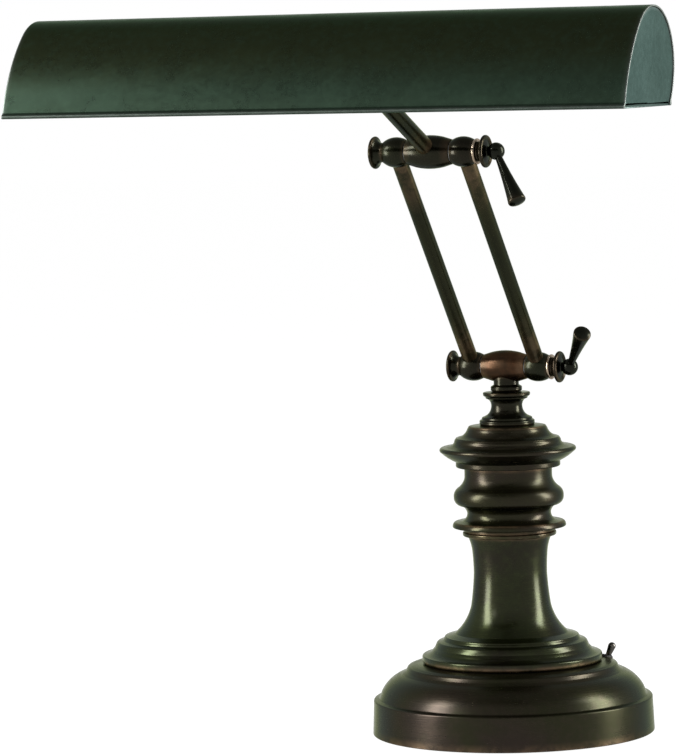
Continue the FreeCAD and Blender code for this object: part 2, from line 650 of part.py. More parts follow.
# Places along a pivot, outwards from the middle, the same at both joints
add_place("half_barrel", "barrel_length / 2")
add_place("washer_end", "half_barrel + friction_washer_thickness")
add_place("knuckle_start", "washer_end + side_gap")
add_place("knuckle_end", "knuckle_start + knuckle_length")
add_place("knob_start", "knuckle_end + nut_gap")
add_place("hub_start", "knob_start + collar_length + nut_gap")
add_place("bolt_hole", "bolt_radius + running_clearance")
add_place("upper_axis_y", "-arm_length * sin(arm_lean_deg * 1deg)")
add_place("upper_axis_z", "lower_axis_height + arm_length * cos(arm_lean_deg * 1deg)")
LOWER = ("0", "0", "lower_axis_height")
UPPER = ("0", "upper_axis_y", "upper_axis_z")

barrel = Outline("barrel", "-half_barrel", "barrel_end_radius")
barrel.arc("half_barrel", "barrel_end_radius", "-barrel_bow")
barrel.line("half_barrel", "bolt_hole")
barrel.line("-half_barrel", "bolt_hole")

knuckle = Outline("knuckle", "knuckle_start", "knuckle_inner_radius")
knuckle.arc("knuckle_end", "knuckle_outer_radius", "-knuckle_bow")
knuckle.line("knuckle_end", "bolt_radius + thread_clearance")
knuckle.line("knuckle_start", "bolt_radius + thread_clearance")

collar = Outline("collar", "knob_start", "collar_radius")
collar.arc("knob_start + collar_length", "collar_radius", "-collar_bow")
collar.line("knob_start + collar_length", "bolt_radius + thread_clearance")
collar.line("knob_start", "bolt_radius + thread_clearance")

knob = Outline("knob", "knob_start", "disc_neck_radius")
knob.arc("knob_start + knob_neck", "disc_neck_radius + disc_neck_flare", "disc_neck_bow")
knob.moves("disc", FLARE_MOVES, "x")
knob.dome("knob_dome", "x")
knob.line("knob_start + knob_grip", "0")
knob.line("knob_start + knob_grip", "bolt_radius + thread_clearance")
knob.line("knob_start", "bolt_radius + thread_clearance")

add_place("ball_place", "hub_start + ball_reach")
add_place("ball_cut", "ball_place - sqrt(ball_radius ^ 2 - ball_neck_radius ^ 2)")
hub = Outline("hub", "hub_start", "disc_neck_radius")
hub.arc("hub_start + hub_neck", "disc_neck_radius + disc_neck_flare", "disc_neck_bow")
hub.moves("disc", FLARE_MOVES, "x")
across, along = hub.after["dish"]
hub.line(across + " + hub_boss_rise", "hub_boss_radius")
hub.arc("ball_cut", "ball_neck_radius", "hub_boss_bow")
hub.round("ball_place + ball_radius", "0", "ball_radius", -1)
hub.line("hub_start + hub_grip", "0")
hub.line("hub_start + hub_grip", "bolt_hole")
hub.line("hub_start", "bolt_hole")

handle = Outline("handle", "0", "lever_seat")
handle.line("lever_root_radius", "lever_seat")
handle.line("lever_root_radius", "ball_radius")
handle.arc("lever_end_radius", "lever_length", "-lever_bow")
handle.arc("lever_end_radius - lever_edge", "lever_length + lever_edge", "lever_edge_bow")
handle.dome("lever_dome")

pivots = (("lower", LOWER, "arm_lean_deg", "lower_lever_turn_deg", "0"),
          ("upper", UPPER, "arm_lean_deg + 180", "upper_lever_turn_deg", "90 - shade_arm_rise_deg"))
for level, centre, arm_turn, lever_turn, post_turn in pivots:
    middle = turned_x(level + "_barrel_turning", barrel)
    put(middle, *centre)
    pocket = cylinder(level + "_pocket", ("post_radius" if level == "lower" else "shade_arm_radius")
                      + " + braze_clearance", "barrel_length", "post_seat")
    stand(pocket, centre, ("x", "180" if level == "lower" else post_turn))
    keep(cut(level + "_barrel", middle, [pocket]))

    rings = []
    for side in (-1, 1):
        washer = cylinder("%s_washer_%d" % (level, side), "friction_washer_radius",
                          "friction_washer_thickness", "0", "friction_washer_bore")
        stand(washer, ("%d * half_barrel" % side, centre[1], centre[2]), ("y", "%d * 90" % side))
        rings.append(washer)
    keep(group(level + "_washers", rings))

    eye = turned_x(level + "_knuckle_turning", knuckle)
    put(eye, *centre)
    socket = cylinder(level + "_tube_socket", "arm_tube_radius + braze_clearance",
                      "barrel_length", "tube_seat")
    stand(socket, ("arm_offset", centre[1], centre[2]), ("x", arm_turn))
    right_knuckle = keep(cut(level + "_knuckle_right", eye, [socket]))
    keep(mirrored(level + "_knuckle_left", right_knuckle))

    bolt = cylinder(level + "_bolt", "bolt_radius",
                    "knob_start + knob_grip + hub_start + hub_grip - hub_slack",
                    "-knob_start - knob_grip")
    stand(bolt, centre, ("y", "90"))
    keep(bolt)
    knob_source = turned_x(level + "_knob_turning", knob)
    put(knob_source, *centre)
    keep(mirrored(level + "_end_knob", knob_source))
    collar_body = turned_x(level + "_collar", collar)
    put(collar_body, *centre)
    keep(collar_body)

    ball = ("ball_place", centre[1], centre[2])
    lever_turns = (("x", lever_turn), ("y", "lever_lean_deg"))
    hub_turning = turned_x(level + "_hub_turning", hub)
    put(hub_turning, *centre)
    lever_hole = cylinder(level + "_lever_hole", "lever_root_radius + braze_clearance",
                          "2 * ball_radius", "lever_seat")
    stand(lever_hole, ball, *lever_turns)
    keep(cut(level + "_lever_hub", hub_turning, [lever_hole]))
    lever = turned_z(level + "_lever_handle", handle)
    stand(lever, ball, *lever_turns)
    keep(lever)

arm = cylinder("arm_tube_right", "arm_tube_radius", "arm_length - 2 * tube_seat",
               "tube_seat", "arm_tube_bore")
stand(arm, ("arm_offset", "0", "lower_axis_height"), ("x", "arm_lean_deg"))
keep(arm)
keep(mirrored("arm_tube_left", arm))

# Short arm from the upper joint into the shade
add_place("head_y", "upper_axis_y - shade_arm_reach * cos(shade_arm_rise_deg * 1deg)")
add_place("head_z", "upper_axis_z + shade_arm_reach * sin(shade_arm_rise_deg * 1deg)")
HEAD = ("0", "head_y", "head_z")
along_arm = ("x", "90 - shade_arm_rise_deg")
shade_arm = cylinder("shade_arm", "shade_arm_radius",
                     "shade_arm_reach - post_seat - hub_arm_seat", "post_seat", "shade_arm_bore")
stand(shade_arm, UPPER, along_arm)
keep(shade_arm)

# Shade section: three arcs that run into each other, open below
add_place("mouth", "head_z - shade_mouth_below")
add_place("top_y", "head_y - top_arc_forward")
add_place("top_z", "head_z - top_arc_below")
add_place("front_y", "top_y - (front_arc_radius - top_arc_radius) * cos(front_joint_deg * 1deg)")
add_place("front_z", "top_z - (front_arc_radius - top_arc_radius) * sin(front_joint_deg * 1deg)")
add_place("rear_y", "top_y + (top_arc_radius - rear_arc_radius) * cos(rear_joint_deg * 1deg)")
add_place("rear_z", "top_z + (top_arc_radius - rear_arc_radius) * sin(rear_joint_deg * 1deg)")


def front_at(inset, height):
    """Where the front arc, moved inwards, stands at a height."""
    reach = "front_arc_radius - (%s)" % inset
    return "front_y - sqrt((%s) ^ 2 - (%s - front_z) ^ 2)" % (reach, height)


def rear_at(inset, height):
    """Where the rear arc, moved inwards, stands at a height."""
    reach = "rear_arc_radius - (%s)" % inset
    return "rear_y + sqrt((%s) ^ 2 - (%s - rear_z) ^ 2)" % (reach, height)


def joint_at(angle, inset):
    """Where the top arc, moved inwards, meets one of its neighbours."""
    reach = "(top_arc_radius - (%s))" % inset
    return ("top_y + %s * cos(%s * 1deg)" % (reach, angle),
            "top_z + %s * sin(%s * 1deg)" % (reach, angle))


def section(name, inset, wall=None):
    """The shade section moved inwards; with a wall it is open below."""
    outline = Outline(name, front_at(inset, "mouth"), "mouth")
    outline.round(*joint_at("front_joint_deg", inset), "front_arc_radius - (%s)" % inset, -1)
    outline.round(*joint_at("rear_joint_deg", inset), "top_arc_radius - (%s)" % inset, -1)
    outline.round(rear_at(inset, "mouth"), "mouth", "rear_arc_radius - (%s)" % inset, -1)
    if wall:
        inner = "%s + %s" % (inset, wall)
        outline.line(rear_at(inner, "mouth"), "mouth")
        outline.round(*joint_at("rear_joint_deg", inner), "rear_arc_radius - (%s)" % inner, 1)
        outline.round(*joint_at("front_joint_deg", inner), "top_arc_radius - (%s)" % inner, 1)
        outline.round(front_at(inner, "mouth"), "mouth", "front_arc_radius - (%s)" % inner, 1)
    return outline


def trough(name, outline, length, start=None):
    """A length of a shade section along X, centred when no start is given."""
    body = new_body(name)
    drawing = outline.sketch(body, "YZ_Plane")
    pad = body.newObject("PartDesign::Pad", name + "_pad")
    pad.Profile = drawing
    bind(pad, "Length", length)
    if start:
        bind(drawing, "AttachmentOffset.Base.z", start)
    else:
        pad.SideType = "Symmetric"
    return body


sheet = trough("shade_sheet", section("sheet", "0", "shade_wall"), "shade_length")
solid_shade = trough("shade_solid", section("whole", "0"), "shade_length")
hollow_shade = trough("shade_hollow", section("hollow", "shade_wall"), "shade_length")

# Rolled lower edges, proud of the outside only
add_place("hem_level", "mouth + hem_radius")
add_place("hem_inset", "shade_wall - hem_radius")
hems = []
for name, place in (("front_hem", front_at("hem_inset", "hem_level")),
                    ("rear_hem", rear_at("hem_inset", "hem_level"))):
    rod = cylinder(name, "hem_radius", "shade_length")
    stand(rod, ("-shade_length / 2", place, "hem_level"), ("y", "90"))
    hems.append(rod)
arm_hole = cylinder("arm_hole", "shade_arm_radius + arm_hole_clearance", "shade_arm_reach")
stand(arm_hole, UPPER, along_arm)
keep(cut("shade_shell", join("shade_skin", [sheet] + hems), [arm_hole]))

# End caps: a plate with a flange that lines the sheet
add_place("cap_inset", "shade_wall + cap_fit")
add_place("cap_end", "shade_length / 2 - cap_recess")
cap_plate = trough("cap_plate", section("plate", "cap_inset"), "cap_wall", "cap_end - cap_wall")
cap_lining = trough("cap_lining", section("lining", "cap_inset", "cap_wall"), "cap_flange",
                    "cap_end - cap_flange")
right_cap = keep(join("end_cap_right", [cap_plate, cap_lining]))
keep(mirrored("end_cap_left", right_cap))

# Saddles on both faces of the rear wall, and the nut that draws them together
add_place("wall_y", "upper_axis_y - rear_y")
add_place("wall_z", "upper_axis_z - rear_z")
add_place("wall_along", "wall_z * sin(shade_arm_rise_deg * 1deg) - wall_y * cos(shade_arm_rise_deg * 1deg)")
add_place("wall_distance",
          "-wall_along - sqrt(wall_along ^ 2 - wall_y ^ 2 - wall_z ^ 2 + rear_arc_radius ^ 2)")
add_place("saddle_start", "wall_distance - saddle_outer_length")
add_place("saddle_end", "wall_distance + saddle_inner_length")
add_place("arm_fit", "shade_arm_radius + thread_clearance")
saddles = {}
for name in ("outer", "inner"):
    disc_body = cylinder(name + "_saddle_disc", "saddle_radius", "saddle_end - saddle_start",
                         "saddle_start", "arm_fit")
    stand(disc_body, UPPER, along_arm)
    saddles[name] = disc_body
keep(cut("outer_saddle", saddles["outer"], [solid_shade]))
inner_saddle = doc.addObject("Part::Common", "inner_saddle")
inner_saddle.Base = saddles["inner"]
inner_saddle.Tool = hollow_shade
keep(inner_saddle)
locknut = hexagon("arm_locknut", "locknut_flats", "locknut_height", "arm_fit", "saddle_end")
stand(locknut, UPPER, along_arm)
keep(locknut)

# Lamp holder in the middle of the shade
add_place("socket_end", "hub_half_length + socket_length")
add_place("floor_end", "hub_half_length + socket_floor")
hub_rod = cylinder("hub_rod", "hub_radius", "2 * hub_half_length", "-hub_half_length")
stand(hub_rod, HEAD, ("y", "90"))
arm_seat = cylinder("arm_seat", "shade_arm_radius + braze_clearance", "2 * hub_radius",
                    "-hub_arm_seat - 2 * hub_radius")
stand(arm_seat, HEAD, along_arm)

screws = []
screw_holes = []
for side in (-1, 1):
    for end in (-1, 1):
        tag = "_%d_%d" % (side, end)
        reach = "(%d) * socket_screw_offset" % end
        place = ("(%d) * floor_end" % side,
                 "head_y + %s * sin(shade_arm_rise_deg * 1deg)" % reach,
                 "head_z + %s * cos(shade_arm_rise_deg * 1deg)" % reach)
        shank = cylinder("screw_shank" + tag, "socket_screw_radius",
                         "socket_floor + socket_screw_grip", "-socket_floor - socket_screw_grip")
        head = cylinder("screw_head" + tag, "socket_screw_head", "socket_head_height")
        screw = join("screw" + tag, [shank, head])
        hole = cylinder("screw_hole" + tag, "socket_screw_radius + thread_clearance",
                        "socket_floor + socket_screw_grip", "-socket_floor - socket_screw_grip")
        for item in (screw, hole):
            stand(item, place, ("y", "(%d) * 90" % side))
        screws.append(screw)
        screw_holes.append(hole)
keep(group("socket_screws", screws))
keep(cut("socket_hub", hub_rod, [arm_seat] + screw_holes))

socket_cup = Outline("socket", "hub_half_length", "socket_radius")
socket_cup.line("socket_end", "socket_radius")
socket_cup.line("socket_end", "socket_bore")
socket_cup.line("floor_end", "socket_bore")
socket_cup.line("floor_end", "0")
socket_cup.line("hub_half_length", "0")
cup = turned_x("socket_turning", socket_cup)
put(cup, *HEAD)
right_socket = keep(cut("socket_right", cup, screw_holes[2:]))
keep(mirrored("socket_left", right_socket))

lining = Outline("screw_shell", "floor_end", "socket_bore - thread_clearance")
lining.line("floor_end + screw_shell_length", "socket_bore - thread_clearance")
lining.line("floor_end + screw_shell_length", "socket_bore - thread_clearance - screw_shell_wall")
lining.line("floor_end", "socket_bore - thread_clearance - screw_shell_wall")
screw_shell = turned_x("screw_shell_right", lining)
put(screw_shell, *HEAD)
keep(screw_shell)
keep(mirrored("screw_shell_left", screw_shell))

add_place("contact_end", "floor_end + contact_height")
contact = Outline("contact", "floor_end", "0")
contact.line("floor_end", "contact_radius")
contact.line("floor_end + contact_height / 2", "contact_radius")
contact.line("contact_end", "contact_strip_radius")
contact.line("contact_end", "0")
centre_contact = turned_x("centre_contact_right", contact)
put(centre_contact, *HEAD)
keep(centre_contact)
keep(mirrored("centre_contact_left", centre_contact))

# Tube bulbs: metal cap and hollow glass
add_place("tip", "contact_end + bulb_gap")
add_place("cone_end", "tip + bulb_cone_length")
add_place("cap_mouth", "cone_end + bulb_cap_length")
bulb_cap = Outline("bulb_cap", "tip", "0")
bulb_cap.line("tip", "bulb_tip_radius")
bulb_cap.line("cone_end", "bulb_cap_radius")
bulb_cap.line("cap_mouth", "bulb_cap_radius")
bulb_cap.line("cap_mouth", "bulb_cap_radius - bulb_cap_wall")
bulb_cap.line("cone_end + bulb_cap_wall", "bulb_cap_radius - bulb_cap_wall")
bulb_cap.line("tip + 2 * bulb_cap_wall", "bulb_tip_radius")
bulb_cap.line("tip + 2 * bulb_cap_wall", "0")
cap_right = turned_x("bulb_cap_right", bulb_cap)
put(cap_right, *HEAD)
keep(cap_right)
keep(mirrored("bulb_cap_left", cap_right))

add_place("glass_neck", "bulb_cap_radius - bulb_cap_wall - braze_clearance")
add_place("glass_start", "cap_mouth - bulb_neck_length")
add_place("shoulder_end", "socket_end + bulb_shoulder")
add_place("body_end", "shoulder_end + bulb_body_length")
add_place("round_end", "body_end + bulb_end_round")
add_place("round_radius", "bulb_radius - bulb_end_round")
glass = Outline("glass", "glass_start", "glass_neck")
glass.line("socket_end", "glass_neck")
glass.arc("shoulder_end", "bulb_radius", "-bulb_shoulder_bow")
glass.line("body_end", "bulb_radius")
glass.round("round_end", "round_radius", "bulb_end_round", -1)
glass.dome("bulb_end_rise", "x")
glass.line("round_end + bulb_end_rise - glass_wall", "0")
glass.round("round_end - glass_wall", "round_radius", "glass_c6", 1)
glass.round("body_end", "bulb_radius - glass_wall", "bulb_end_round - glass_wall", 1)
glass.line("shoulder_end", "bulb_radius - glass_wall")
glass.arc("socket_end", "glass_neck - glass_wall", "bulb_shoulder_bow")
glass.line("glass_start", "glass_neck - glass_wall")
bulb = turned_x("bulb_glass_right", glass)
put(bulb, *HEAD)
keep(bulb)
keep(mirrored("bulb_glass_left", bulb))

# Every object is checked before anything is written
doc.recompute()
problems = []
for item in doc.Objects:
    if "Invalid" in item.State or "Error" in item.State:
        problems.append("%s is not up to date" % item.Name)
    if hasattr(item, "Shape") and not item.isDerivedFrom("Sketcher::SketchObject"):
        if item.isDerivedFrom("App::OriginFeature"):
            continue
        if item.Shape.isNull() or not item.Shape.isValid():
            problems.append("%s has no valid shape" % item.Name)
if problems:
    raise RuntimeError("; ".join(problems))

os.makedirs("parts", exist_ok=True)
for name, item in sorted(parts.items()):
    item.Shape.exportStep("parts/%s.step" % name)
print(len(parts), "sub-parts written")
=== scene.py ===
import json
import math

import bmesh
import bpy
import numpy as np
from mathutils import Matrix, Vector


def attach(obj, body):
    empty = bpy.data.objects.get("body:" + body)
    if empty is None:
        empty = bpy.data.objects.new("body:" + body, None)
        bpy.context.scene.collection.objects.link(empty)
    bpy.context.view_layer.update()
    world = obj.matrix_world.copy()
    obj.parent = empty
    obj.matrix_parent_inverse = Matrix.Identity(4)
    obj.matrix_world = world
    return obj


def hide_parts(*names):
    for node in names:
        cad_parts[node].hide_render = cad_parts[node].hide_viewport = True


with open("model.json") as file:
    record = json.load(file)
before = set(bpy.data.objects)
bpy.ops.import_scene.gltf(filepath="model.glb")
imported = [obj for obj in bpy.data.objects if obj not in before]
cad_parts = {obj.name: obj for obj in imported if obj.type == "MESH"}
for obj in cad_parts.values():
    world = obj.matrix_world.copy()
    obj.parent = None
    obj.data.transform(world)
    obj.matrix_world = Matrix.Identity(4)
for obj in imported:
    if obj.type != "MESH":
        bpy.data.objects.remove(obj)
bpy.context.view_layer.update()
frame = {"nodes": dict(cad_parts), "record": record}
MM = 0.001

# Camera, solved from the photograph; places in metres, angles in degrees
CAMERA_PLACE = (0.95057, -2.35142, 0.40725)
CAMERA_AZIMUTH, CAMERA_PITCH, CAMERA_ROLL = 24.19, -4.48, -1.44
CAMERA_LENS, SENSOR_WIDTH = 209.15, 36.0
CAMERA_REACH = 50


def put(name, data):
    """A new object in the scene."""
    item = bpy.data.objects.new(name, data)
    bpy.context.scene.collection.objects.link(item)
    return item


def add_camera():
    """The camera at the photograph's place and turn."""
    azimuth, pitch, roll = map(math.radians, (CAMERA_AZIMUTH, CAMERA_PITCH, CAMERA_ROLL))
    right = Vector((math.cos(azimuth), math.sin(azimuth), 0))
    level = Vector((-math.sin(azimuth), math.cos(azimuth), 0))
    up = Vector((0, 0, 1))
    ahead = math.cos(pitch) * level + math.sin(pitch) * up
    up = -math.sin(pitch) * level + math.cos(pitch) * up
    right, up = (math.cos(roll) * right + math.sin(roll) * up,
                 -math.sin(roll) * right + math.cos(roll) * up)
    data = bpy.data.cameras.new("camera")
    data.lens = CAMERA_LENS
    data.sensor_width = SENSOR_WIDTH
    data.clip_end = CAMERA_REACH
    camera = put("camera", data)
    turn = Matrix((right, up, -ahead)).transposed().to_4x4()
    camera.matrix_world = Matrix.Translation(CAMERA_PLACE) @ turn
    bpy.context.scene.camera = camera


add_camera()
bpy.context.scene.view_settings.view_transform = "Standard"

# Turned outlines in millimetres: change of radius, rise, bow away from the axis
BASE = [(-0.8, 19.3, 0), (-1.0, 1.0, 0.29), (-2.2, 0.6, 0), (-0.5, 1.1, 0), (-13.4, 13.1, 2.3),
        (-1.8, 1.3, 0), (-0.9, 1.5, 0), (-1.7, 1.4, 0.35), (-3.1, 0.9, 0.15), (-3.5, 0.6, 0)]
COLUMN = [(1.8, 1.6, 0.4), (0, 2.2, 0), (-0.9, 1.0, 0.3), (-4.8, 2.1, -0.4), (-1.8, 2.1, 0.1),
          (-1.0, 2.4, 0.1), (-1.6, 1.2, 0.3), (-2.3, 0.7, 0), (-0.8, 1.5, 0.1), (-1.0, 0.8, 0.3),
          (-5.2, 1.5, 0), (-9.7, 16.1, -1.5), (-1.9, 18.8, -0.25), (0.6, 13.0, -0.15),
          (2.4, 8.7, -0.35)]
RING = [(0.7, 1.2, 0.3), (-0.6, 1.3, 0.35)]
KNOP = [(0, 2.5, 0), (5.6, 0, 0), (1.0, 1.1, 0.45), (-1.3, 2.2, 0.3), (-4.6, 0.7, -0.1),
        (-2.7, 4.4, -0.8), (3.3, 4.3, -0.7), (4.3, 4.8, 1.3), (-2.7, 5.7, 0.9),
        (-3.7, 5.5, -0.6), (0.1, 6.4, -0.15)]
CAP = [(0.9, 1.0, 0.3), (0, 2.2, 0), (8.6, 5.7, 0.45), (0.6, 1.7, 0.35), (-1.3, 1.0, 0.2),
       (-5.2, 1.0, -0.2), (-2.0, 2.0, -0.25), (-0.7, 1.8, 0.2), (-1.0, 0.8, 0.2),
       (-3.1, 1.1, -0.1), (-2.7, 3.1, -0.25), (-0.8, 1.6, 0.1), (-0.8, 0.8, 0.15), (-5.6, 0.5, 0)]
SPOOL = [(0.4, 1.6, 0.3), (-0.6, 1.4, 0.35), (-0.7, 0.5, -0.1), (-0.6, 1.1, 0.3), (-2.0, 0.9, 0),
         (-2.85, 4.3, -0.55), (0.85, 4.4, -0.5), (1.7, 1.0, -0.1), (0.5, 0.9, 0.2),
         (1.0, 0.7, 0), (0.4, 1.1, 0.2), (-0.4, 1.0, 0.25), (-4.6, 0.4, 0)]
BEAD = [(0.8, 1.6, 0.4), (-0.7, 1.6, 0.4), (-1.0, 0.6, 0)]
# Flared end disc of a pivot, outwards: run, rise, bow away from the axis
FLARE = [(1.6, 2.7, -0.35), (1.7, -0.4, 0.35), (0.2, -0.9, 0), (-0.8, -0.9, 0)]

# How outlines are drawn; lengths in millimetres, angles in degrees
NOTHING = 1e-6          # a shorter run or a smaller bow counts as none
SAME = 1e-4             # points nearer than this are one
ARC_STEP, LEAST_STEPS = 4, 6
LEAST_TURN = 10         # a corner that turns less is left as it is
CORNER_SHARE = 0.36     # the most that rounding takes from a run
CLOSE_SHARE = 0.2       # the share of a run near its ends that gets points of its own
WEAR_REACH = 1.1        # how far wear reaches from an outer edge


def arc(start, end, bow):
    """Points from start to end on an arc that bows to the right of the way."""
    start, end = np.array(start, float), np.array(end, float)
    chord = end - start
    length = np.hypot(*chord)
    if abs(bow) < NOTHING:
        return np.array([start + chord * t for t in (0, 0.25, 0.5, 0.75, 1)])
    right = np.array([chord[1], -chord[0]]) / length
    radius = (length * length / 4 + bow * bow) / (2 * abs(bow))
    centre = (start + end) / 2 + right * (bow - math.copysign(radius, bow))
    first = math.atan2(*(start - centre)[::-1])
    sweep = math.atan2(*(end - centre)[::-1]) - first
    sweep = (sweep + math.pi) % (2 * math.pi) - math.pi
    steps = max(LEAST_STEPS, int(math.degrees(abs(sweep)) / ARC_STEP))
    angles = first + sweep * np.linspace(0, 1, steps + 1)
    return centre + radius * np.stack([np.cos(angles), np.sin(angles)], 1)


def distance(a, b):
    """How far apart two points are."""
    return np.hypot(*(b - a))


def distances(run):
    """How far along a run each of its points is."""
    return np.concatenate([[0], np.cumsum(np.hypot(*np.diff(run, axis=0).T))])


def point_at(run, along, mark):
    """The point of a run at a distance along it."""
    return np.array([np.interp(mark, along, run[:, 0]), np.interp(mark, along, run[:, 1])])


def curve(t, start, corner, end):
    """The point at t, from 0 to 1, of a curve that rounds a corner."""
    start, corner, end = np.array(start), np.array(corner), np.array(end)
    return (1 - t) ** 2 * start + 2 * t * (1 - t) * corner + t * t * end


def corner_turn(before, after):
    """The angle between two runs, positive to the left."""
    a, b = before[-1] - before[-2], after[1] - after[0]
    a, b = a / np.hypot(*a), b / np.hypot(*b)
    turn = math.degrees(math.asin(max(-1, min(1, a[0] * b[1] - a[1] * b[0]))))
    return math.copysign(180, turn) - turn if a @ b < 0 else turn


def trimmed(run, first, last):
    """The points of a run without its two ends, with more points near them."""
    along = distances(run)
    low, high = first, along[-1] - last
    room = (high - low) * CLOSE_SHARE
    marks = [low] + [m for m in along if low + room * 0.5 < m < high - room * 0.5] + [high]
    if first:
        marks.insert(1, low + min(first, room) * 0.5)
    if last:
        marks.insert(-1, high - min(last, room) * 0.5)
    return [point_at(run, along, mark) for mark in sorted(marks)]


class Profile:
    """An outline made of runs that are rounded where they meet."""

    def __init__(self, across, along):
        self.here = (across, along)
        self.runs = []

    def to(self, across, along, bow=0):
        """One run to a point."""
        self.runs.append(arc(self.here, (across, along), bow))
        self.here = (across, along)
        return self

    def through(self, *points):
        """Runs to points, each with a bow where it has one."""
        for point in points:
            self.to(*point)
        return self

    def by(self, moves, side=1):
        """Runs from a table of changes; side is -1 where x comes first."""
        for across, along, bow in moves:
            self.to(self.here[0] + across, self.here[1] + along, side * bow)
        return self

    def round(self, across, along, radius, side):
        """One run along a circle of given radius; side 1 bows to the right."""
        chord = math.hypot(across - self.here[0], along - self.here[1])
        bow = radius - math.sqrt(max(radius * radius - chord * chord / 4, 0))
        return self.to(across, along, side * bow)

    def points(self, edge, side, closed):
        """The rounded outline, and at each point how near an outer edge it is."""
        runs = [np.array(run) for run in self.runs]
        if closed:
            runs.append(arc(self.here, self.runs[0][0], 0))
        runs = [run for run in runs if distance(run[0], run[-1]) > NOTHING]
        lengths = [np.hypot(*np.diff(run, axis=0).T).sum() for run in runs]
        after = [*range(1, len(runs)), 0]
        trims = [[0.0, 0.0] for _ in runs]
        corners = {}
        for i, j in enumerate(after if closed else after[:-1]):
            turn = corner_turn(runs[i], runs[j])
            radius = runs[j][0][0 if side > 0 else 1]
            if abs(turn) < LEAST_TURN or radius < SAME:
                continue
            trims[i][1] = trims[j][0] = min(edge, CORNER_SHARE * lengths[i],
                                            CORNER_SHARE * lengths[j])
            corners[i] = (runs[j][0], turn * side > 0)
        path, outer = [], []
        for i, run in enumerate(runs):
            path += trimmed(run, *trims[i])
            if i in corners:
                corner, convex = corners[i]
                ahead = runs[after[i]]
                end = point_at(ahead, distances(ahead), trims[after[i]][0])
                path += [curve(t, path[-1], corner, end) for t in (0.25, 0.5, 0.75)]
                if convex:
                    outer.append(corner)
        kept = path[:1]
        for point in path[1:]:
            if distance(kept[-1], point) > SAME:
                kept.append(point)
        if closed and distance(kept[0], kept[-1]) < SAME:
            kept.pop()
        kept = np.array(kept)
        near = np.zeros(len(kept))
        for corner in outer:
            near = np.maximum(near, np.exp(-(np.hypot(*(kept - corner).T) / WEAR_REACH) ** 2))
        return kept, near


def outline(*points):
    """An outline through points, each with a bow where it has one."""
    return Profile(*points[0]).through(*points[1:])


def finish_mesh(name, vertices, faces, wear):
    """A mesh object in metres with closed, outward and smooth faces."""
    mesh = bpy.data.meshes.new(name)
    mesh.from_pydata([tuple(v) for v in np.array(vertices) * MM], [], faces)
    solid = bmesh.new()
    solid.from_mesh(mesh)
    bmesh.ops.recalc_face_normals(solid, faces=solid.faces)
    solid.to_mesh(mesh)
    solid.free()
    mesh.polygons.foreach_set("use_smooth", [True] * len(mesh.polygons))
    values = mesh.attributes.new("wear", "FLOAT", "POINT").data
    values.foreach_set("value", np.array(wear, np.float32))
    return put(name, mesh)


def join_rings(a, b, segments):
    """Faces between two rings of vertices; a ring on the axis is one vertex."""
    for k in range(segments):
        n = (k + 1) % segments
        if len(a) > 1 and len(b) > 1:
            yield a[k], a[n], b[n], b[k]
        elif len(a) > 1:
            yield a[k], a[n], b[0]
        elif len(b) > 1:
            yield a[0], b[n], b[k]


def lathe(name, profile, axis="z", place=None, segments=144, edge=0.35, closed=True,
          shape=None):
    """A turned mesh; axis x takes outlines of (place along x, radius)."""
    path, near = profile.points(edge, 1 if axis == "z" else -1, closed)
    vertices, wear, rings = [], [], []
    for (u, v), rub in zip(path, near):
        radius, height = (u, v) if axis == "z" else (v, u)
        first = len(vertices)
        if radius < SAME:
            vertices.append((0, 0, height))
        else:
            for k in range(segments):
                angle = 2 * math.pi * k / segments
                r, h = shape(radius, height, angle) if shape else (radius, height)
                vertices.append((r * math.cos(angle), r * math.sin(angle), h))
        rings.append(range(first, len(vertices)))
        wear += [rub] * len(rings[-1])
    faces = []
    for a, b in zip(rings, rings[1:] + (rings[:1] if closed else [])):
        faces += join_rings(a, b, segments)
    vertices = np.array(vertices, float)
    if axis == "x":
        vertices = vertices[:, [2, 0, 1]]
    if place is not None:
        turn = np.array(place)
        vertices = vertices @ turn[:3, :3].T + turn[:3, 3]
    return finish_mesh(name, vertices, faces, wear)


def mirrored(name, source):
    """The same mesh on the other side of x = 0."""
    mesh = source.data.copy()
    mesh.name = name
    mesh.transform(Matrix.Diagonal((-1, 1, 1, 1)))
    mesh.flip_normals()
    return put(name, mesh)


def at(x, y, z, *turns):
    """A place in millimetres with turns in degrees; the last is made first."""
    matrix = Matrix.Translation((x, y, z))
    for axis, angle in turns:
        matrix = matrix @ Matrix.Rotation(math.radians(angle), 4, axis.upper())
    return matrix


# Materials: linear tones, noise scales in cells per metre, depths in metres


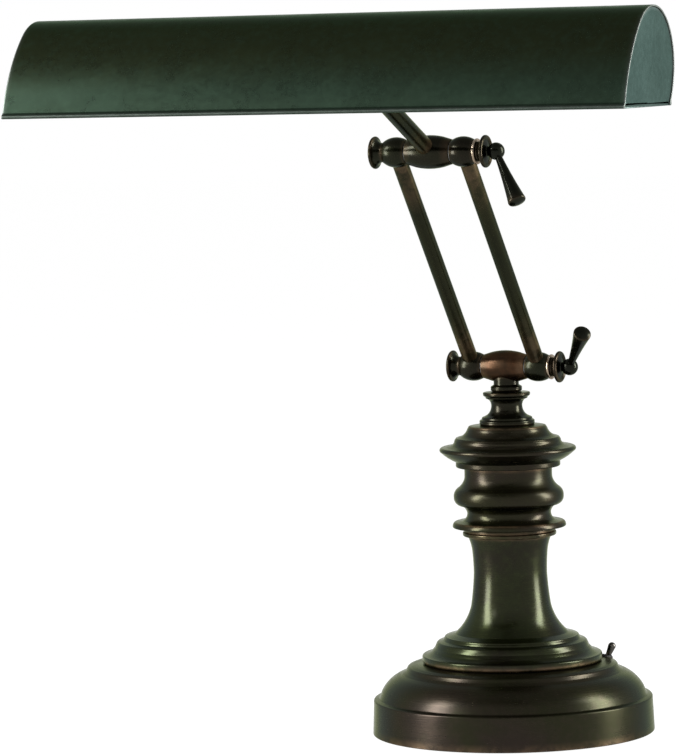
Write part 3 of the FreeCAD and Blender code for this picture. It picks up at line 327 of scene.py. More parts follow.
class Nodes:
    """A short way to write a node tree."""

    def __init__(self, owner, output):
        owner.use_nodes = True
        self.tree = owner.node_tree
        self.tree.nodes.clear()
        self.output = self.add(output)

    def add(self, kind, **settings):
        """One node."""
        node = self.tree.nodes.new(kind)
        for key, value in settings.items():
            setattr(node, key, value)
        return node

    def link(self, out, into):
        """One link between two sockets."""
        self.tree.links.new(out, into)

    def fill(self, socket, value):
        """A link or a constant in a socket."""
        if hasattr(value, "is_output"):
            self.link(value, socket)
        else:
            socket.default_value = value

    def span(self, value, low, high, to_low, to_high, smooth=True):
        """A value carried from one range into another."""
        node = self.add("ShaderNodeMapRange")
        if smooth:
            node.interpolation_type = "SMOOTHSTEP"
        self.link(value, node.inputs["Value"])
        ranges = {"From Min": low, "From Max": high, "To Min": to_low, "To Max": to_high}
        for key, number in ranges.items():
            node.inputs[key].default_value = number
        return node.outputs[0]

    def math(self, kind, a, b, clamp=False):
        """Two numbers worked into one."""
        node = self.add("ShaderNodeMath", operation=kind, use_clamp=clamp)
        self.fill(node.inputs[0], a)
        self.fill(node.inputs[1], b)
        return node.outputs[0]

    def height(self, kind):
        """The z of a texture coordinate."""
        apart = self.add("ShaderNodeSeparateXYZ")
        self.link(self.add("ShaderNodeTexCoord").outputs[kind], apart.inputs[0])
        return apart.outputs["Z"]

    def background_rays(self):
        """Above 0 for camera, glossy and transmission rays, and 0 for others."""
        path = self.add("ShaderNodeLightPath").outputs
        seen = self.math("ADD", path["Is Camera Ray"], path["Is Glossy Ray"])
        return self.math("ADD", seen, path["Is Transmission Ray"])


class Surface(Nodes):
    """A material's nodes round one Principled shader."""

    def __init__(self, name):
        self.material = bpy.data.materials.new(name)
        super().__init__(self.material, "ShaderNodeOutputMaterial")
        self.shader = self.add("ShaderNodeBsdfPrincipled")
        self.link(self.shader.outputs[0], self.output.inputs[0])
        self.where = self.add("ShaderNodeTexCoord").outputs["Object"]

    def noise(self, scale, detail, rough, stretch=None, twist=0.0):
        """Noise from 0 to 1, maybe stretched."""
        where = self.where
        if stretch:
            mapping = self.add("ShaderNodeMapping")
            self.link(where, mapping.inputs[0])
            mapping.inputs["Scale"].default_value = stretch
            where = mapping.outputs[0]
        node = self.add("ShaderNodeTexNoise")
        self.link(where, node.inputs["Vector"])
        node.inputs["Scale"].default_value = scale
        node.inputs["Detail"].default_value = detail
        node.inputs["Roughness"].default_value = rough
        node.inputs["Distortion"].default_value = twist
        return node.outputs["Fac"]

    def mix(self, share, a, b):
        """A colour between two colours."""
        node = self.add("ShaderNodeMix", data_type="RGBA")
        self.fill(node.inputs[0], share)
        self.fill(node.inputs[6], (*a, 1) if isinstance(a, tuple) else a)
        self.fill(node.inputs[7], (*b, 1) if isinstance(b, tuple) else b)
        return node.outputs[2]

    def bump(self, *heights):
        """Bumps from pairs of height and depth, one on another."""
        normal = None
        for height, depth in heights:
            node = self.add("ShaderNodeBump")
            node.inputs["Strength"].default_value = 1.0
            node.inputs["Distance"].default_value = depth
            self.link(height, node.inputs["Height"])
            if normal:
                self.link(normal, node.inputs["Normal"])
            normal = node.outputs[0]
        self.link(normal, self.shader.inputs["Normal"])

    def set(self, **values):
        """The shader's sockets, named with _ for a space."""
        for key, value in values.items():
            self.fill(self.shader.inputs[key.replace("_", " ")], value)


EDGE_BROWN = (0.15, 0.095, 0.055)
OLIVE_TINT = (0.40, 0.46, 0.24)
CLOUDS, SPECKS, RUBS, SMEARS, PITS = 22, 260, 95, 40, 500
SPUN_LINES, FINE_GRAIN = 1500, 420
LINE_STRETCH = {"z": (0.02, 0.02, 1), "x": (1, 0.02, 0.02), "none": (1, 1, 1)}
LINE_DEPTH, PIT_DEPTH = 0.0000015, 0.000003
SPECK_SHARE, SPECK_GAIN = 0.3, 1.5
RUB_DULLING = 0.16


def bronze(name, body, shade, edge=EDGE_BROWN, lines="none", tint=OLIVE_TINT, rough=0.27,
           wear=0.5, coat=0.13, coat_rough=0.2, painted_top_shade=None, patchy=0.85):
    """Brown-black bronze lacquer: clouds of tone, spun lines, rubbed edges; on the lamp shade's
    rolled hems the edge tone is partly a painted highlight, and an optional height range paints
    shade, a darker tone above it.
    """
    m = Surface(name)
    clouds = m.span(m.noise(CLOUDS, 3, 0.5, twist=0.4), 0.3, 0.72, 0, 1)
    tone = m.mix(clouds, body, shade)
    # Painted shade: above a height the tone turns darker olive, for the darker top of the lamp
    # shade
    if painted_top_shade:
        low, high, above = painted_top_shade
        tone = m.mix(m.span(m.height("Object"), low, high, 0, 1), tone, above)
    speck = m.span(m.noise(SPECKS, 3, 0.6), 0.4, 0.75, 0, SPECK_SHARE)
    tone = m.mix(speck, tone, tuple(c * SPECK_GAIN for c in body))
    patches = m.span(m.noise(RUBS, 4, 0.65), 0.32, 0.62, 1 - patchy, 1)
    # The wear attribute marks rubbed edges; on the lamp shade's rolled hems it also holds a
    # painted highlight
    near_edge = m.add("ShaderNodeAttribute", attribute_name="wear").outputs["Fac"]
    rub = m.math("MULTIPLY", near_edge, patches)
    tone = m.mix(m.math("MULTIPLY", rub, wear), tone, edge)
    spun = m.noise(FINE_GRAIN if lines == "none" else SPUN_LINES, 2, 0.5, LINE_STRETCH[lines])
    smear = m.span(m.noise(SMEARS, 4, 0.6), 0.3, 0.72, -0.03, 0.05)
    gloss = m.math("ADD", m.math("ADD", smear, rough), m.span(spun, 0.3, 0.7, -0.03, 0.03))
    gloss = m.math("ADD", gloss, m.math("MULTIPLY", rub, RUB_DULLING))
    m.set(Base_Color=tone, Roughness=gloss, Metallic=0.85, Specular_Tint=(*tint, 1),
          Specular_IOR_Level=0.35, Coat_Weight=coat, Coat_Roughness=coat_rough)
    if lines != "none":
        tangent = m.add("ShaderNodeTangent", direction_type="RADIAL", axis=lines.upper())
        m.set(Tangent=tangent.outputs[0], Anisotropic=0.55, Anisotropic_Rotation=0.25)
    m.bump((spun, LINE_DEPTH), (m.noise(PITS, 2, 0.5), PIT_DEPTH))
    return m.material


def metal(name, tone, dark, rough):
    """Bare or plated metal with fine scratches and dull patches."""
    m = Surface(name)
    scratches = m.noise(900, 3, 0.6)
    patch = m.span(m.noise(60, 4, 0.6), 0.35, 0.7, 0, 1)
    gloss = m.math("ADD", m.span(scratches, 0.3, 0.7, -0.06, 0.06),
                   m.span(patch, 0, 1, rough, rough + 0.12))
    m.set(Base_Color=m.mix(patch, tone, dark), Metallic=1.0, Roughness=gloss,
          Specular_Tint=(0.7, 0.7, 0.7, 1))
    m.bump((scratches, 0.000001))
    return m.material


def moulded(name, tone, rough):
    """Moulded plastic with a fine tooth and dull patches."""
    m = Surface(name)
    tooth = m.noise(1400, 2, 0.5)
    patch = m.noise(70, 4, 0.6)
    worn = tuple(c * 1.6 + 0.004 for c in tone)
    m.set(Base_Color=m.mix(m.span(patch, 0.3, 0.7, 0, 1), tone, worn),
          Roughness=m.math("ADD", m.span(patch, 0.3, 0.7, -0.06, 0.08), rough))
    m.bump((tooth, 0.00001))
    return m.material


def felt_cloth(name):
    """Pressed felt: matted short fibres."""
    m = Surface(name)
    fibre = m.noise(2200, 4, 0.7, (1, 1, 0.5), twist=1.2)
    mat = m.noise(160, 4, 0.6)
    tone = m.mix(m.span(fibre, 0.3, 0.7, 0, 1), (0.012, 0.022, 0.014), (0.035, 0.055, 0.035))
    m.set(Base_Color=tone, Roughness=m.span(mat, 0.3, 0.7, 0.85, 1.0),
          Sheen_Weight=0.5, Sheen_Roughness=0.5)
    m.bump((fibre, 0.00025), (mat, 0.0004))
    return m.material


def frosted(name):
    """A bulb's white-coated glass."""
    m = Surface(name)
    film = m.noise(110, 4, 0.6)
    m.set(Base_Color=m.mix(m.span(film, 0.3, 0.7, 0, 1), (0.86, 0.85, 0.80), (0.74, 0.73, 0.69)),
          Roughness=m.span(film, 0.3, 0.7, 0.22, 0.36),
          Transmission_Weight=0.25, Coat_Weight=0.6, Coat_Roughness=0.06)
    m.bump((m.noise(500, 2, 0.5), 0.000008))
    return m.material


def casting(name):
    """A raw sand casting."""
    m = Surface(name)
    sand = m.noise(900, 4, 0.7)
    lump = m.noise(120, 3, 0.6)
    m.set(Base_Color=m.mix(m.span(lump, 0.3, 0.7, 0, 1), (0.05, 0.048, 0.045), (0.09, 0.08, 0.07)),
          Roughness=m.span(sand, 0.3, 0.7, 0.6, 0.85), Metallic=0.6)
    m.bump((sand, 0.00015), (lump, 0.0003))
    return m.material


GREEN_BLACK = (0.0080, 0.0090, 0.0040)
GREEN_DEEP = (0.0135, 0.0175, 0.0050)
GREEN_GREY = (0.0140, 0.0260, 0.0165)
OLIVE_BROWN = (0.0130, 0.0130, 0.0050)
# The next tone is painted shade, for the darker top of the lamp shade
OLIVE_PAINTED_SHADE = (0.0150, 0.0200, 0.0080)
BROWN_BLACK = (0.0090, 0.0065, 0.0040)
BROWN_DEEP = (0.0165, 0.0110, 0.0085)
GOLD_BROWN = (0.0520, 0.0230, 0.0110)
NEAR_BLACK = (0.0045, 0.0048, 0.0034)
# Pale metal for rubbed edges, also used as a painted highlight on the lamp shade's rolled hems
BARE_METAL_AND_HIGHLIGHT = (0.17, 0.18, 0.175)
# Painted shade: the lamp shade's tone turns darker olive between two heights in metres, so its top
# reads darker
SHADE_TOP_PAINTED_SHADE = (0.376, 0.402, OLIVE_PAINTED_SHADE)

looks = {
    "standard": bronze("standard_bronze", GREEN_DEEP, BROWN_BLACK, lines="z", rough=0.25,
                       coat=0.18),
    "vase": bronze("vase_bronze", OLIVE_BROWN, BROWN_DEEP, lines="z", rough=0.28,
                   coat_rough=0.25),
    "base": bronze("base_bronze", BROWN_DEEP, OLIVE_BROWN, lines="z", rough=0.28,
                   coat_rough=0.27),
    "barrel": bronze("barrel_bronze", GOLD_BROWN, BROWN_BLACK, lines="x", rough=0.32,
                     coat=0.05, coat_rough=0.26),
    "joint": bronze("joint_bronze", GREEN_BLACK, BROWN_BLACK, lines="x", wear=0.2),
    "spool": bronze("spool_bronze", GREEN_BLACK, BROWN_BLACK, lines="z", rough=0.26, wear=0.2),
    "tube": bronze("tube_bronze", GREEN_BLACK, OLIVE_BROWN, coat=0.09),
    # The lamp shade's tone darkens towards its top: painted shade
    "shade": bronze("shade_bronze", GREEN_GREY, (0.0130, 0.0235, 0.0145), BARE_METAL_AND_HIGHLIGHT,
                    tint=(0.34, 0.46, 0.34), rough=0.3, wear=0.8, coat=0.06, coat_rough=0.3,
                    painted_top_shade=SHADE_TOP_PAINTED_SHADE, patchy=0.3),
    "cap": bronze("cap_bronze", (0.029, 0.047, 0.042), (0.025, 0.041, 0.036), BARE_METAL_AND_HIGHLIGHT,
                  tint=(0.34, 0.46, 0.42), rough=0.38, wear=0.8, coat=0.12, coat_rough=0.3,
                  patchy=0.3),
    "lever": bronze("lever_bronze", NEAR_BLACK, GREEN_BLACK, rough=0.24, wear=0.2),
    "nickel": metal("dark_nickel", (0.085, 0.08, 0.07), (0.05, 0.047, 0.042), 0.14),
    "steel": metal("zinc_steel", (0.42, 0.42, 0.41), (0.28, 0.28, 0.27), 0.3),
    "bright": metal("pale_brass", (0.40, 0.33, 0.25), (0.26, 0.20, 0.14), 0.2),
    "brass": metal("plain_brass", (0.62, 0.45, 0.20), (0.42, 0.30, 0.14), 0.28),
    "thin_metal": metal("bulb_sheet", (0.66, 0.65, 0.62), (0.5, 0.49, 0.46), 0.24),
    "black": moulded("black_plastic", (0.012, 0.012, 0.012), 0.45),
    "phenolic": moulded("dark_phenolic", (0.016, 0.012, 0.010), 0.28),
    "felt": felt_cloth("green_felt"),
    "glass": frosted("frosted_glass"),
    "iron": casting("raw_casting"),
}
SLOT_LOOK = {"bronze": "joint", "felt": "felt", "iron": "iron", "steel": "steel",
             "bright": "bright", "brass": "brass", "black_plastic": "black",
             "socket_plastic": "phenolic", "bulb_metal": "thin_metal", "bulb_glass": "glass"}
# The look for each material slot of the CAD nodes
# Every CAD node gets the look of its slot
for part in frame["record"]["subparts"]:
    mesh = frame["nodes"][part["node"]].data
    mesh.materials.clear()
    mesh.materials.append(looks[SLOT_LOOK[part["material_slot"]]])
    mesh.polygons.foreach_set("use_smooth", [True] * len(mesh.polygons))


def add(piece, body, look, node):
    """Give a piece its body and material, and hide the node it stands for."""
    piece.data.materials.append(looks[look])
    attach(piece, body)
    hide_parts(node)


def add_pair(right, body, look, node):
    """A right-hand piece and its mirror on the left."""
    left = mirrored(right.name.replace("right", "left"), right)
    add(right, body, look, node + "_right")
    add(left, body, look, node + "_left")


# Standard and base: radii and heights, from the floor up
HOLE = 5.2
BASE_RADIUS, BASE_FOOT, BASE_ROOF, ROOF_RADIUS = 81.9, 0.4, 2.4, 57.4
BASE_INSIDE = ((60.0, 34.6), (61.8, 33.3), (75.2, 20.2, -2.3), (78.9, 17.5), (79.7, BASE_FOOT))
COLUMN_RADIUS, COLUMN_ROOF, COLUMN_BORE, COLUMN_INSIDE = 50.5, 3, 17.5, 42.0
SKIRT_RISE, THROAT_RISE = 6, 20
RING_RADIUS = 26.4
POST_FOOT, POST_TOP, POST_BORE, POST_RADIUS, POST_GAP = 187.4, 207.4, 2.6, 4.2, 0.15
BEAD_FOOT, POST_END = 8.2, 7.3


def stack(name, level, foot, moves, bore, roof, inside, look, node, **turning):
    """A turned piece that stands at a level, hollow below its bored roof."""
    profile = Profile(foot, level).by(moves)
    top = profile.here[1]
    profile.through((bore, top), (bore, top - roof), (inside, top - roof), (inside, level))
    add(lathe(name, profile, **turning), "base", look, node)
    return top


profile = Profile(BASE_RADIUS, BASE_FOOT).by(BASE)
seat = profile.here[1]
profile.through((HOLE, seat), (HOLE, seat - BASE_ROOF), (ROOF_RADIUS, seat - BASE_ROOF),
                *BASE_INSIDE)
add(lathe("base_cover", profile, segments=240, edge=0.5), "base", "base", "base_shell")

profile = Profile(COLUMN_RADIUS, seat).by(COLUMN)
top = profile.here[1]
profile.through((HOLE, top), (HOLE, top - COLUMN_ROOF), (COLUMN_BORE, top - COLUMN_ROOF),
                (COLUMN_BORE, seat + THROAT_RISE), (COLUMN_INSIDE, seat + SKIRT_RISE),
                (COLUMN_INSIDE, seat))
add(lathe("column_turning", profile, segments=200), "base", "standard", "column")

level = top
profile = Profile(RING_RADIUS, level).by(RING)
top = profile.here[1]
profile.through((HOLE, top), (HOLE, level))
add(lathe("seam_ring", profile), "base", "standard", "column_ring")

top = stack("knop_turning", top, foot=26.3, moves=KNOP, bore=HOLE, roof=4, inside=20,
            look="vase", node="knop", segments=176)
top = stack("cap_turning", top, foot=29.4, moves=CAP, bore=HOLE, roof=3.4, inside=19,
            look="vase", node="vase_cap", segments=176)
top = stack("spool_turning", top, foot=15.5, moves=SPOOL, bore=4.25, roof=7.4, inside=6.9,
            look="spool", node="neck_spool", edge=0.28)

profile = Profile(POST_BORE, POST_FOOT).to(POST_RADIUS, POST_FOOT)
profile.through((POST_RADIUS, top + POST_GAP), (BEAD_FOOT, top + POST_GAP)).by(BEAD)
profile.through((POST_END, POST_TOP), (POST_BORE, POST_TOP))
add(lathe("post_turning", profile, edge=0.28), "neck", "spool", "swivel_post")

# Pivots: outlines give x first and radius second
PIN_HOLE = 2.6
# Sleeves: start, end, radius, radius at the end, bow
BARREL = (-13.3, 13.3, 6.9, 6.9, -2.5)
KNUCKLE = (13.8, 27.4, 6.7, 6.1, -2.1)
COLLAR = (27.5, 29.0, 6.9, 6.9, -0.35)
# End pieces: their start, their neck, and the ball of the lever's hub
NECK_RADIUS, NECK_END, NECK_BOW = 5.6, 6.2, 0.4
KNOB_START, KNOB_NECK = 27.5, 3.3
HUB_START, HUB_NECK, BALL_PLACE, BALL_RADIUS = 29.1, 1.9, 39.5, 4.85
HUB_END = ((34.3, 3.4), (35.406, 2.6, 0.3))
# A lever's handle gives radius first and length second
HANDLE = ((0, 2.6), (2.0, 2.6), (2.0, 4.85), (5.1, 33.0, -0.3), (4.2, 33.9, 0.2))
HANDLE_LEAN, END_DOME = 28.8, 0.9
UPPER_Y, LOWER_Z, UPPER_Z = -105.207, 213.0, 340.627
# Body and look of the barrel, y, z, turn of the lever
PIVOTS = {"lower": ("neck", "barrel", 0.0, LOWER_Z, 44.4),
          "upper": ("shade", "joint", UPPER_Y, UPPER_Z, 159.0)}


def dome(profile, rise, axis="z"):
    """A rounded end from the outline's last point to the axis."""
    across, along = profile.here
    radius = across if axis == "z" else along
    ball = (radius * radius + rise * rise) / (2 * rise)
    if axis == "z":
        return profile.round(0, along + rise, ball, 1)
    return profile.round(across + rise, 0, ball, -1)


def sleeve(start, end, radius, end_radius, bow):
    """A turned sleeve round a pivot bolt."""
    return outline((start, PIN_HOLE), (start, radius), (end, end_radius, bow), (end, PIN_HOLE))


def flared(start, neck):
    """A pivot's end from the axis: a short neck and the flared disc."""
    profile = outline((start, 0), (start, NECK_RADIUS), (start + neck, NECK_END, NECK_BOW))
    return profile.by(FLARE, -1)


def add_pivot(pivot, middle, look, y, z, lever_turn):
    """The turned pieces on one pivot bolt, its lever among them."""
    lever = pivot + "_lever"

    def turned(name, profile, edge=0.3, closed=True):
        return lathe(name, profile, "x", at(0, y, z), 128, edge, closed)

    add(turned(pivot + "_centre_turning", sleeve(*BARREL)), middle, look, pivot + "_barrel")
    add_pair(turned(pivot + "_knuckle_turning_right", sleeve(*KNUCKLE)), "arms", "joint",
             pivot + "_knuckle")
    add(turned(pivot + "_collar_turning", sleeve(*COLLAR), 0.25), "arms", "bright",
        pivot + "_collar")

    profile = dome(flared(KNOB_START, KNOB_NECK), END_DOME, "x")
    source = turned(pivot + "_knob_source", profile, closed=False)
    add(mirrored(pivot + "_knob_turning", source), "arms", "joint", pivot + "_end_knob")
    bpy.data.objects.remove(source)

    profile = flared(HUB_START, HUB_NECK).through(*HUB_END)
    profile.round(BALL_PLACE + BALL_RADIUS, 0, BALL_RADIUS, -1)
    add(turned(lever + "_hub_turning", profile, 0.25, False), lever, "lever", lever + "_hub")

    profile = dome(outline(*HANDLE), END_DOME)
    place = at(BALL_PLACE, y, z, ("x", lever_turn), ("y", HANDLE_LEAN))
    add(lathe(lever + "_handle_turning", profile, "z", place, 96, 0.4, closed=False),
        lever, "lever", lever + "_handle")


for pivot, values in PIVOTS.items():
    add_pivot(pivot, *values)

# Tubes: inner and outer radius, start, end
ARM = (3.4, 4.5, 4.2, 161.2)
SHADE_ARM = (3.4, 4.75, 5.6, 124)
ARM_LEAN, ARM_OFFSET, SHADE_ARM_RISE = 39.5, 20.4, 25.0


def tube(inner, outer, start, end):
    """The outline of a plain tube along z."""
    return outline((inner, start), (outer, start), (outer, end), (inner, end))


place = at(ARM_OFFSET, 0, LOWER_Z, ("x", ARM_LEAN))
add_pair(lathe("arm_right", tube(*ARM), "z", place, 112, 0.2), "arms", "tube", "arm_tube")
place = at(0, UPPER_Y, UPPER_Z, ("x", 90 - SHADE_ARM_RISE))
add(lathe("shade_arm_tube", tube(*SHADE_ARM), "z", place, 112, 0.2),
    "shade", "tube", "shade_arm")

# Shade: a sheet bent to three arcs, with rolled lower edges
MOUTH, SHADE_HALF, WALL, HEM = 366.0445, 177.8, 1.0, 1.1
FLARE_TOP, FLARE_BEND = 3.4, 2.75
FLARE_PARTS = np.linspace(0.1, 0.9, 9)
INNER_RISE = 0.5        # from the hem's last point to the inner wall's first
# Centre y, centre z and radius of each arc, and the angles at which they join
TOP_ARC = (-226.851, 388.7045, 29.5)
FRONT_ARC = (-186.246, 345.008, 89.15)
REAR_ARC = (-241.284, 391.275, 44.16)
FRONT_JOINT, REAR_JOINT = 132.9, -10.1
BEND_STEPS = (24, 40, 16)
HEM_START, HEM_END, HEM_POINTS = 30, -180, 25
# Pale bare-metal tone at each point of a rolled edge, from the flare to the inner wall: wear, and
# along the roll's outside a painted highlight
HEM_WEAR_AND_HIGHLIGHT = [0.0] * 6 + [0.1, 0.2, 0.25] + [0.3] * 7 + [0.1] * 2 + [0.0] * 16
END_ROUND, END_WEAR, END_WEAR_REACH = 0.28, 0.9, 0.6
# Where the sheet's loops are: from its ends, and evenly between
END_STATIONS = (0, 0.08, 0.28, 0.9)
MIDDLE_START, MIDDLE_COUNT = 3, 40


def on_arc(centre, inset, angle):
    """A point of an arc that has moved inwards."""
    y, z, radius = centre
    angle = math.radians(angle)
    return y + (radius - inset) * math.cos(angle), z + (radius - inset) * math.sin(angle)


def level_angle(centre, inset, height, front):
    """The angle at which an arc stands at a height."""
    _, z, radius = centre
    angle = math.degrees(math.asin((height - z) / (radius - inset)))
    return 180 - angle if front else angle


def bend(inset, front_low, rear_low):
    """The shade's section from the front over the top to the rear."""
    points = []
    runs = ((FRONT_ARC, level_angle(FRONT_ARC, inset, front_low, True), FRONT_JOINT),
            (TOP_ARC, FRONT_JOINT, REAR_JOINT),
            (REAR_ARC, REAR_JOINT, level_angle(REAR_ARC, inset, rear_low, False)))
    for (centre, start, end), steps in zip(runs, BEND_STEPS):
        for k in range(1 if points else 0, steps + 1):
            points.append(on_arc(centre, inset, start + (end - start) * k / steps))
    return points


def roll(side):
    """The rolled edge, from the flare outside round below to the inner wall."""
    centre = FRONT_ARC if side < 0 else REAR_ARC
    y, z = on_arc(centre, WALL - HEM, level_angle(centre, WALL - HEM, MOUTH + HEM, side < 0))
    turns = np.radians(np.linspace(HEM_START, HEM_END, HEM_POINTS))
    round_below = [(y + side * HEM * math.cos(t), z + HEM * math.sin(t)) for t in turns]
    top, corner = (on_arc(centre, 0, level_angle(centre, 0, MOUTH + rise, side < 0))
                   for rise in (FLARE_TOP, FLARE_BEND))
    flare = [tuple(curve(t, top, corner, round_below[0])) for t in FLARE_PARTS]
    return flare + round_below


def ladder(count):
    """End faces of a full section, rung by rung between its two sides."""
    low, high, faces = 0, count - 1, []
    while high - low > 2:
        faces.append((low, low + 1, high - 1, high))
        low, high = low + 1, high - 1
    faces.append(tuple(range(low, high + 1)))
    return faces


def band(count, rolled=0):
    """End faces of a sheet section: strips, and a face in each rolled edge."""
    back = 2 * count + rolled - 1
    faces = [(k, k + 1, back - k - 1, back - k) for k in range(count - 1)]
    if rolled:
        faces.append(tuple(range(count - 1, count + rolled + 1)))
        faces.append((*range(back, back + rolled + 1), 0))
    return faces


def extrude(name, loops, ends):
    """A closed mesh through loops of (x, points, wear) with these end faces."""
    vertices, marks, faces = [], [], []
    count = len(loops[0][1])
    for x, points, rub in loops:
        vertices += [(x, y, z) for y, z in points]
        marks += rub if isinstance(rub, list) else [rub] * count
    last = (len(loops) - 1) * count
    for first in range(0, last, count):
        for k in range(count):
            n = (k + 1) % count
            faces.append((first + k, first + n, first + count + n, first + count + k))
    for shift in (0, last):
        faces += [tuple(k + shift for k in face) for face in ends]
    return finish_mesh(name, vertices, faces, marks)


def shrink(points, amount):
    """A closed section moved inwards by an amount."""
    p = np.array(points)
    way = np.roll(p, -1, 0) - np.roll(p, 1, 0)
    way /= np.maximum(np.hypot(*way.T), 1e-9)[:, None]
    area = np.sum(p[:, 0] * np.roll(p[:, 1], -1) - p[:, 1] * np.roll(p[:, 0], -1))
    inward = np.stack([-way[:, 1], way[:, 0]], 1) * (1 if area > 0 else -1)
    return [tuple(q) for q in p + inward * amount]


front_roll, rear_roll = roll(-1), roll(1)
outer = bend(0, MOUTH + FLARE_TOP, MOUTH + FLARE_TOP)
inner = bend(WALL, front_roll[-1][1] + INNER_RISE, rear_roll[-1][1] + INNER_RISE)
sheet = outer + rear_roll + inner[::-1] + front_roll[::-1]
# Pale marks on the rolled hems: partly wear, partly a painted highlight along the roll's outside
sheet_wear_and_highlight = [0.0] * len(outer) + HEM_WEAR_AND_HIGHLIGHT + [0.0] * len(inner) + HEM_WEAR_AND_HIGHLIGHT[::-1]
stations = [-SHADE_HALF + step for step in END_STATIONS]
stations += [*np.linspace(-SHADE_HALF + MIDDLE_START, SHADE_HALF - MIDDLE_START, MIDDLE_COUNT)]
stations += [SHADE_HALF - step for step in END_STATIONS[::-1]]
loops = []
for x in stations:
    edge = SHADE_HALF - abs(x)
    depth = END_ROUND - min(edge, END_ROUND)
    amount = END_ROUND - math.sqrt(max(END_ROUND ** 2 - depth ** 2, 0))
    near = END_WEAR * math.exp(-(edge / END_WEAR_REACH) ** 2)
    loops.append((x, shrink(sheet, amount), [max(rub, near) for rub in sheet_wear_and_highlight]))
piece = extrude("shade_sheet", loops, band(len(outer), len(rear_roll)))
add(piece, "shade", "shade", "shade_shell")

# End caps: a plate and the flange that lines the sheet
CAP_INSET, CAP_FOOT, CAP_END = 1.05, MOUTH + 0.02, SHADE_HALF - 0.6
FLANGE_BACK, FLANGE_FRONT = 7.0, 0.5
# How far each loop of the plate is behind its face and inside its edge, and its wear
PLATE_LOOPS = ((WALL, 0, 0), (0.3, 0, 0.1), (0.08, 0.1, 0.25), (0, 0.35, 0.25), (0, 2.0, 0))
plate = bend(CAP_INSET, CAP_FOOT, CAP_FOOT)
lip = bend(CAP_INSET + WALL, CAP_FOOT, CAP_FOOT)[::-1]
loops = [(CAP_END - back, shrink(plate, inset), rub) for back, inset, rub in PLATE_LOOPS]
cap = extrude("cap_plate_right", loops, ladder(len(plate)))
loops = [(CAP_END - FLANGE_BACK, plate + lip, 0.2), (CAP_END - FLANGE_FRONT, plate + lip, 0)]
flange = extrude("cap_flange_right", loops, band(len(plate)))
for piece in (cap, flange):
    add_pair(piece, "shade", "cap", "end_cap")

# Lamp holder and bulbs, outlines outwards along x from the head
HEAD = at(0, -222.121, 395.1445)
SOCKET_CUP = ((6, 0), (6, 15.6), (7.6, 16.4), (48, 16.4), (48, 13.8), (11, 13.8), (11, 0))
SHELL_START, SHELL_END, SHELL_OUTSIDE, SHELL_INSIDE = 11, 39, 13.5, 13.15
BULB_SCREW_START, BULB_SCREW_END = ((13.5, 0), (13.5, 4.6), (17.1, 12.7)), 40.1
BULB_SCREW_INSIDE = ((40.1, 12.5), (18, 12.3), (18, 0))
BULB_WALLS = ((149, 15.2, -1.4), (62, 15.2), (48, 12.0, 0.8), (36, 12.0), (36, 12.67),
              (48, 12.67), (62, 15.9, -0.8), (149, 15.9))
RIBS, RIB_DEPTH, RIBS_START, RIBS_END = 24, 0.012, 8.5, 44
THREAD_PITCH, THREAD_DEPTH, THREAD_CORE, THREAD_STEP = 3.6, 0.22, 12.5, 0.5


def waves(count, angle):
    """Round waves from 0 to 1, so many a turn."""
    return 0.5 + 0.5 * math.cos(count * angle)


def ribs(radius, place, angle):
    """Grip ribs round a socket's body."""
    return radius * (1 - RIB_DEPTH * waves(RIBS, angle) * (RIBS_START < place < RIBS_END)), place


def thread(radius, place, angle):
    """A rolled screw thread."""
    depth = THREAD_DEPTH * math.sin(2 * math.pi * place / THREAD_PITCH - angle)
    return radius + depth * (radius > THREAD_CORE), place


def in_steps(profile, end):
    """A run along x in steps short enough for a thread."""
    start, radius = profile.here
    step = math.copysign(THREAD_STEP, end - start)
    for k in range(1, round((end - start) / step) + 1):
        profile.to(start + k * step, radius)


def both(name, profile, look, node, segments, edge, closed=False, shape=None):
    """A turned piece on the right of the head and its mirror on the left."""
    right = lathe(name + "_right_piece", profile, "x", HEAD, segments, edge, closed, shape)
    add_pair(right, "shade", look, node)


both("socket_cup", outline(*SOCKET_CUP), "phenolic", "socket", 192, 0.5, shape=ribs)

profile = Profile(SHELL_START, SHELL_OUTSIDE)
in_steps(profile, SHELL_END)
profile.to(SHELL_END, SHELL_INSIDE)
in_steps(profile, SHELL_START)
both("shell_thread", profile, "brass", "screw_shell", 96, 0, True, thread)

profile = outline(*BULB_SCREW_START)
in_steps(profile, BULB_SCREW_END)
profile.through(*BULB_SCREW_INSIDE)
both("bulb_screw", profile, "thin_metal", "bulb_cap", 96, 0, shape=thread)

profile = Profile(153.2, 0).round(152.4, 11.9, 88, 1).through(*BULB_WALLS)
dome(profile.round(153, 11.9, 4, -1), 0.8, "x")
both("bulb_tube", profile, "glass", "bulb_glass", 128, 0.6)

# Switch: serrated ring nut and bat lever
SWITCH_AZIMUTH, SWITCH_RADIUS, SWITCH_HEIGHT, SWITCH_TILT = 36, 56.5, 40.1, 10
BAT_PLACE, BAT_TILT = (45.372, 32.965, 37.736), 24
NUT = (3.32, 3.8, 0, 1.2)
TEETH, TOOTH_DEPTH, TEETH_START = 36, 0.03, 3.6


def serrated(radius, place, angle):
    """Fine teeth on the rim of a ring nut."""
    return radius * (1 - TOOTH_DEPTH * waves(TEETH, angle) * (radius > TEETH_START)), place


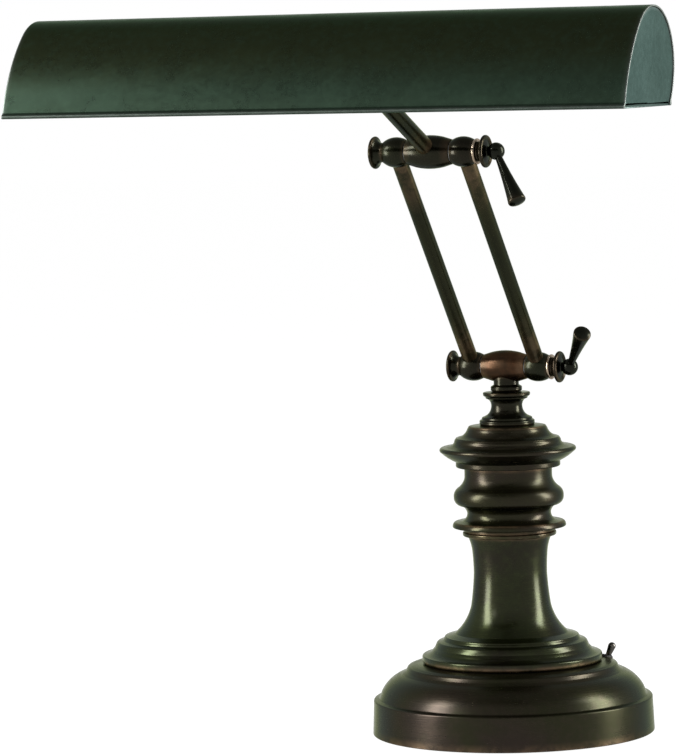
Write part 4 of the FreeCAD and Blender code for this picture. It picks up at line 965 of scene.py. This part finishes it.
turn = math.radians(SWITCH_AZIMUTH)
place = at(SWITCH_RADIUS * math.cos(turn), SWITCH_RADIUS * math.sin(turn), SWITCH_HEIGHT,
           ("z", SWITCH_AZIMUTH), ("y", SWITCH_TILT))
add(lathe("ring_nut", tube(*NUT), "z", place, 288, 0.2, shape=serrated),
    "base", "nickel", "switch_nut")
profile = Profile(0, -2).round(1.3, 1.5, 2, 1).to(2.3, 9.7, -0.05).round(0, 12, 2.3, 1)
place = at(*BAT_PLACE, ("z", SWITCH_AZIMUTH), ("y", BAT_TILT))
add(lathe("bat", profile, "z", place, 64, 0.3, closed=False), "toggle", "nickel", "toggle_lever")

# Floor, surroundings and lamps, in metres
FLOOR_LEVEL, FLOOR_HALF = -0.0003, 9
FLOOR_TONE = (0.8, 0.8, 0.8, 1)
FLOOR_GLOW, FLOOR_GLOW_SHARE = 1.16, 0.82
AMBIENT = 0.5
# The surroundings dim upwards, between these two heights of a direction, to this share
DIM_START, DIM_END, DIM_LEAST = 0.35, 0.95, 0.35
# Aim, width, height and power in watts
SIDE_BOX = ((0, 0, 0.3), 0.4, 1.1, 36)
FRONT_BOX = ((-0.1, -0.25, 0.38), 0.6, 0.7, 5)

corners = [(x * FLOOR_HALF, y * FLOOR_HALF, FLOOR_LEVEL)
           for x, y in ((-1, -1), (1, -1), (1, 1), (-1, 1))]
mesh = bpy.data.meshes.new("floor")
mesh.from_pydata(corners, [], [(0, 1, 2, 3)])
paper = bpy.data.materials.new("paper")
mesh.materials.append(paper)
nodes = Nodes(paper, "ShaderNodeOutputMaterial")
plain = nodes.add("ShaderNodeBsdfDiffuse")
plain.inputs["Color"].default_value = FLOOR_TONE
glow = nodes.add("ShaderNodeEmission")
glow.inputs["Strength"].default_value = FLOOR_GLOW
blend = nodes.add("ShaderNodeMixShader")
share = nodes.math("MULTIPLY", nodes.background_rays(), FLOOR_GLOW_SHARE, clamp=True)
nodes.link(share, blend.inputs["Fac"])
nodes.link(plain.outputs[0], blend.inputs[1])
nodes.link(glow.outputs[0], blend.inputs[2])
nodes.link(blend.outputs[0], nodes.output.inputs[0])
put("floor", mesh)

world = bpy.data.worlds.new("surroundings")
bpy.context.scene.world = world
nodes = Nodes(world, "ShaderNodeOutputWorld")
sky = nodes.add("ShaderNodeBackground")
sky.inputs["Color"].default_value = (1, 1, 1, 1)
level = nodes.span(nodes.background_rays(), 0, 1, AMBIENT, 1.0, smooth=False)
dim = nodes.span(nodes.height("Generated"), DIM_START, DIM_END, 1.0, DIM_LEAST, smooth=False)
nodes.link(nodes.math("MULTIPLY", level, dim), sky.inputs["Strength"])
nodes.link(sky.outputs[0], nodes.output.inputs[0])


def lamp(name, place, aim, width, height, power):
    """A soft rectangular lamp aimed at a point."""
    data = bpy.data.lights.new(name, "AREA")
    data.shape = "RECTANGLE"
    data.size, data.size_y = width, height
    data.energy = power
    light = put(name, data)
    way = (Vector(aim) - Vector(place)).normalized().to_track_quat("-Z", "Y")
    light.matrix_world = Matrix.Translation(place) @ way.to_matrix().to_4x4()


lamp("left_box", (-1.02, -0.82, 0.58), *SIDE_BOX)
lamp("right_box", (1.22, 0.42, 0.58), *SIDE_BOX)
lamp("front_box", (-1.3, -2.2, 1.15), *FRONT_BOX)
